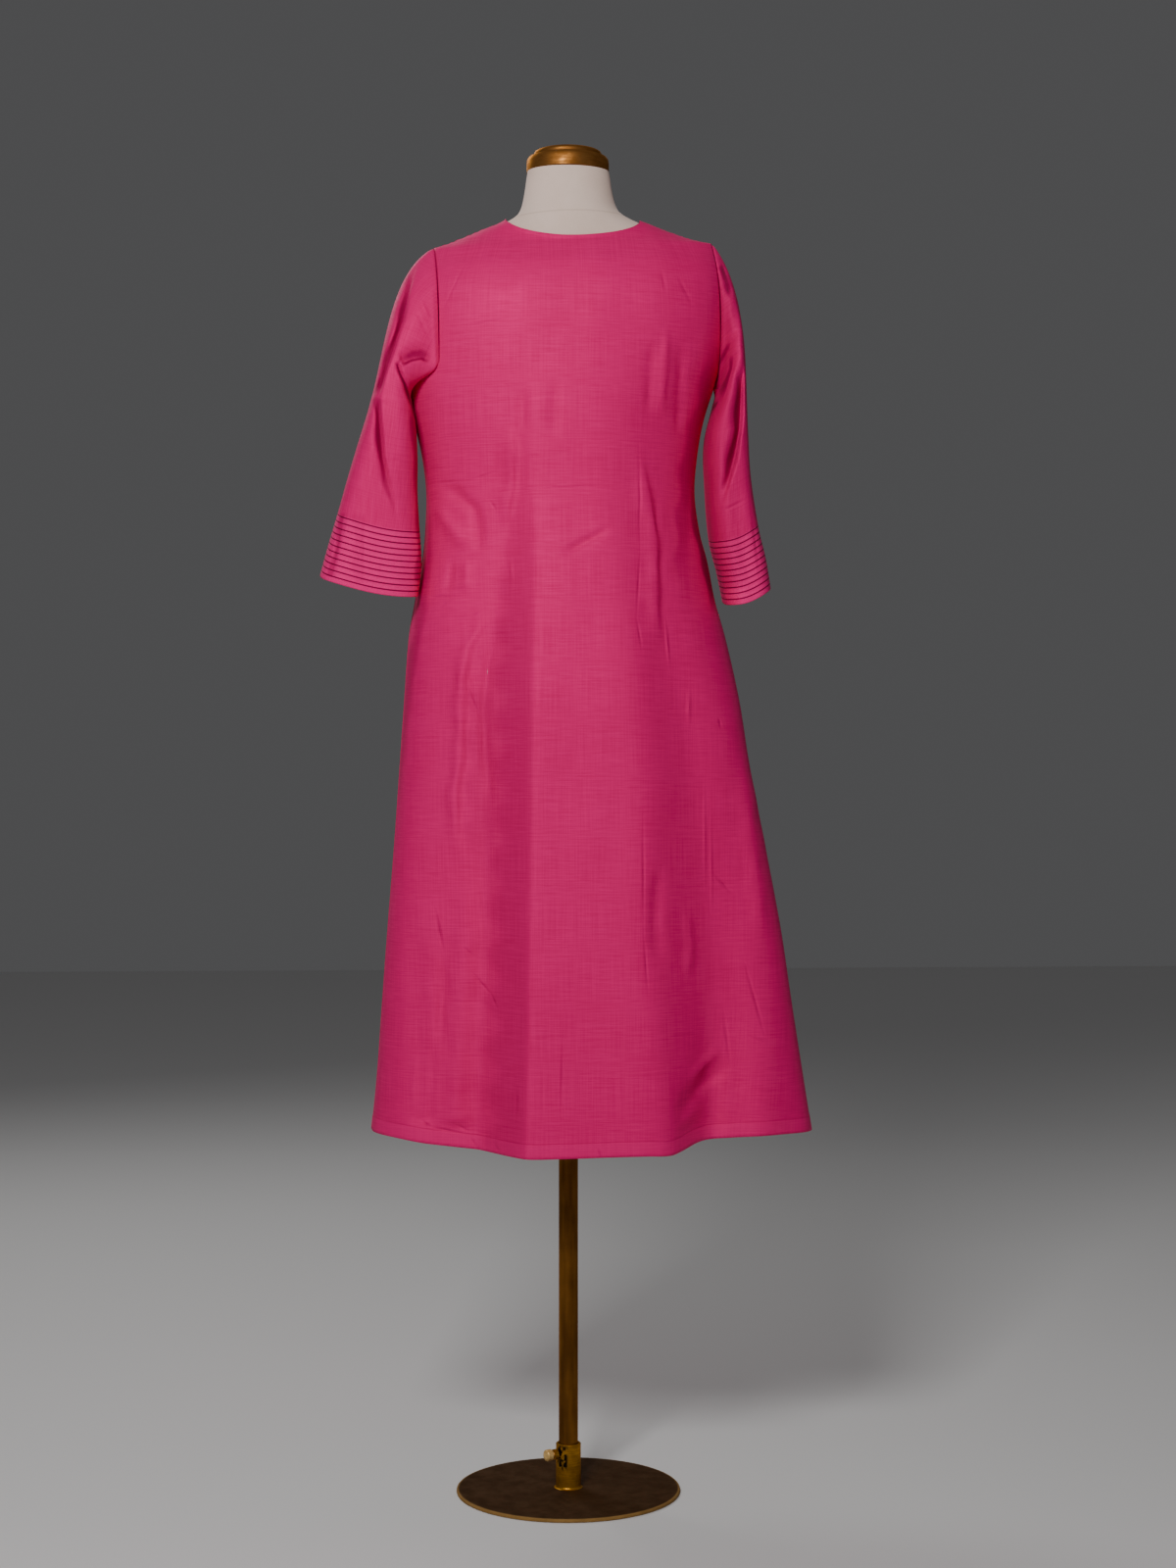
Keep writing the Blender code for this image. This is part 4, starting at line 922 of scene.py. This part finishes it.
# the dress form: smooth torso and neck under a plain cover, and the turned cap
form = {
    "base": 870.0, "neckTop": 1681.3, "lean": 13.0, "rows": 150, "columns": 96, "rim": 7.0, "halfWidth": 140.0,
    "cover": (0.86, 0.665, 0.57, 1.0), "shadow": (0.74, 0.555, 0.46, 1.0), "seam": (0.42, 0.26, 0.17, 1.0),
    "seamHeight": 1.6215, "seamSlope": 0.03, "seamDark": 0.25,
}


def formFinish():
    finish = Finish("formCover", Sheen_Weight=0.15, Specular_IOR_Level=0.25)
    place = finish.node("ShaderNodeTexCoord", None, None, output=3)
    cloudy = finish.noise(place, 14.0, 3.0, 0.55)
    weave = finish.noise(place, 900.0, 1.0, 0.5)
    x = finish.node("ShaderNodeSeparateXYZ", None, {"Vector": place})
    away = x.beside(2) - form["seamHeight"] - x * form["seamSlope"]
    seam = 1.0 - away.maths("ABSOLUTE").ramped(0.0004, 0.0016)
    colour = finish.mixed((cloudy * 0.7 + weave * 0.3).ramped(0.25, 0.75), form["shadow"], form["cover"])
    finish.feed("Base Color", finish.mixed(seam * form["seamDark"], colour, form["seam"]))
    finish.feed("Roughness", 0.82 + weave * 0.1)
    finish.bump(cloudy * 3.0 + weave * 0.3, 0.0006, 0.35)
    return finish.material


def formPiece():
    def place(across, up):
        angle = across * math.pi
        height = form["base"] + (form["neckTop"] - form["base"]) * up
        row = eased(formRows, height)
        c, s = np.cos(angle), np.sin(angle)
        x = np.copysign(np.abs(c) ** (2 / row[:, 4]), c) * row[:, 1]
        deep = np.where(s > 0, row[:, 3], row[:, 2])
        y = np.copysign(np.abs(s) ** (2 / row[:, 4]), s) * deep
        below = 1 - np.clip((height - form["base"]) / form["rim"], 0, 1)
        narrow = 1 - form["rim"] * (1 - np.sqrt(np.clip(1 - below ** 2, 0, 1))) / form["halfWidth"]
        points = settled(np.stack([x * narrow, y * narrow, height], axis=1))
        return points, {"grain": np.stack([angle * 0.05, height * mm], axis=1)}

    piece = gridPiece("formBody", form["rows"], form["columns"], place, loop=True)
    bm = bmesh.new()
    bm.from_mesh(piece.data)
    bmesh.ops.holes_fill(bm, edges=[edge for edge in bm.edges if edge.is_boundary])
    bmesh.ops.recalc_face_normals(bm, faces=bm.faces)
    bm.to_mesh(piece.data)
    bm.free()
    piece.data.set_sharp_from_angle(angle=math.radians(40))
    piece.data.materials.append(formFinish())
    return piece


formBody = formPiece()


def spunPiece(name, profile, steps, material, aside=0.0):
    bm = bmesh.new()
    corners = [bm.verts.new((radius * mm, 0, height * mm)) for radius, height in profile]
    edges = [bm.edges.new(pair) for pair in zip(corners, corners[1:])]
    bmesh.ops.spin(
        bm, geom=corners + edges, cent=(0, 0, 0), axis=(0, 0, 1), dvec=(0, 0, 0), angle=2 * math.pi, steps=steps,
        use_merge=True,
    )
    bmesh.ops.remove_doubles(bm, verts=bm.verts, dist=0.000005)
    bmesh.ops.recalc_face_normals(bm, faces=bm.faces)
    bmesh.ops.translate(bm, vec=(0, aside * mm, 0), verts=bm.verts)
    piece = meshPiece(name, bm)
    piece.data.shade_smooth()
    piece.data.set_sharp_from_angle(angle=math.radians(35))
    piece.data.materials.append(material)
    return piece


# the metals' bright and dark colours, roughness and metallic share
metals = {
    "cap": ((0.35, 0.150, 0.038, 1.0), (0.20, 0.075, 0.015, 1.0), 0.46, 0.8),
    "pole": ((0.24, 0.098, 0.016, 1.0), (0.10, 0.038, 0.007, 1.0), 0.42, 0.8),
    "socket": ((0.58, 0.285, 0.03, 1.0), (0.28, 0.125, 0.014, 1.0), 0.42, 0.75),
    "base": ((0.060, 0.026, 0.008, 1.0), (0.036, 0.015, 0.005, 1.0), 0.80, 0.05),
    "screw": ((0.95, 0.66, 0.27, 1.0), (0.66, 0.38, 0.11, 1.0), 0.34, 0.35),
}


metalTint, rubbed, bare = (1.0, 0.62, 0.34, 1.0), (0.36, 0.20, 0.06, 1.0), (0.008, 0.006, 0.005, 1.0)


def metalFinish(name, kind, stretch=(1, 1, 12), rim=None, wear=0.65, chipped=False):
    bright, dark, rough, metallic = metals[kind]
    finish = Finish(name, Metallic=metallic, Specular_IOR_Level=0.25, Specular_Tint=metalTint)
    place = finish.node("ShaderNodeTexCoord", None, None, output=3)
    worn = finish.noise(place, 42.0, 4.0, 0.62)
    brushed = finish.noise(place, 60.0, 2.0, 0.6, stretch)
    tone = (worn * wear + brushed * (1 - wear)).ramped(0.32, 0.68)
    colour = finish.mixed(tone, dark, bright)
    x = finish.node("ShaderNodeSeparateXYZ", None, {"Vector": place})
    y, height = x.beside(1), x.beside(2)
    if rim:
        edge = (x * x + y * y).maths("SQRT").ramped(*rim) * (worn * 0.7 + 0.55).clamped()
        colour = finish.mixed(edge.clamped() * 0.8, colour, rubbed)
    if chipped:
        band = x.ramped(0.0, -0.004) * x.ramped(-0.017, -0.012)
        band = band * height.ramped(0.026, 0.034) * height.ramped(0.066, 0.056)
        chips = finish.noise(place, 230.0, 3.0, 0.6, (1, 1, 0.6)).ramped(0.49, 0.54) * band
        colour = finish.mixed(chips, colour, bare)
    finish.feed("Base Color", colour)
    finish.feed("Roughness", rough + (0.5 - tone) * 0.22)
    finish.bump(worn * 0.6 + brushed * 0.4, 0.0003, 0.25)
    return finish.material


# each turned piece's outline: radius and height in mm
outlines = {
    "neckCap": (
        (0, 1681.6), (51.2, 1681.6), (52.3, 1682.8), (52.7, 1687), (52.6, 1695), (52.0, 1699.0), (50.4, 1701.2),
        (47.4, 1702.0), (44.0, 1702.4), (43.5, 1703.2), (43.8, 1704.6), (43.6, 1706.6), (42.6, 1708.6), (40.4, 1709.9),
        (36.0, 1710.4), (0, 1710.4),
    ),
    "poleTube": ((0, 4.8), (12.2, 4.8), (12.2, 1010.0), (0, 1010.0)),
    "plate": ((0, 0), (141.0, 0), (142.3, 0.8), (142.5, 2.0), (142.3, 3.4), (141.4, 4.3), (139.5, 4.5), (0, 4.5)),
}
neckCap = spunPiece("neckCap", outlines["neckCap"], 128, metalFinish("giltBronze", "cap", (1, 1, 6)), form["lean"])
poleTube = spunPiece("poleTube", outlines["poleTube"], 64, metalFinish("poleBronze", "pole", (1, 1, 0.12), wear=0.2))
plateBronze = metalFinish("plateBronze", "base", (1, 1, 1), rim=(0.1385, 0.1412))
plate = spunPiece("plate", outlines["plate"], 160, plateBronze)
for node, name, kind in (("base_socket", "socketBronze", "socket"), ("clamp_screw", "screwBrass", "screw")):
    material = metalFinish(name, kind, chipped=kind == "socket")
    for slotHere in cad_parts[node].material_slots:
        slotHere.material = material
print("form and stand made")

for piece, body, node, slot in (
    (backCloth, "form", "back_panel", "fuchsia_cloth"), (frontCloth, "form", "front_panel", "fuchsia_cloth"),
    (leftSleeve, "form", "left_sleeve", "fuchsia_cloth"), (rightSleeve, "form", "right_sleeve", "fuchsia_cloth"),
    (formBody, "form", "form_torso", "form_cover"), (neckCap, "form", "neck_cap", "golden_bronze"),
    (poleTube, "form", "pole", "pole_bronze"), (plate, "stand", "base_plate", "dark_bronze"),
):
    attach(piece, body)
    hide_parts(node)
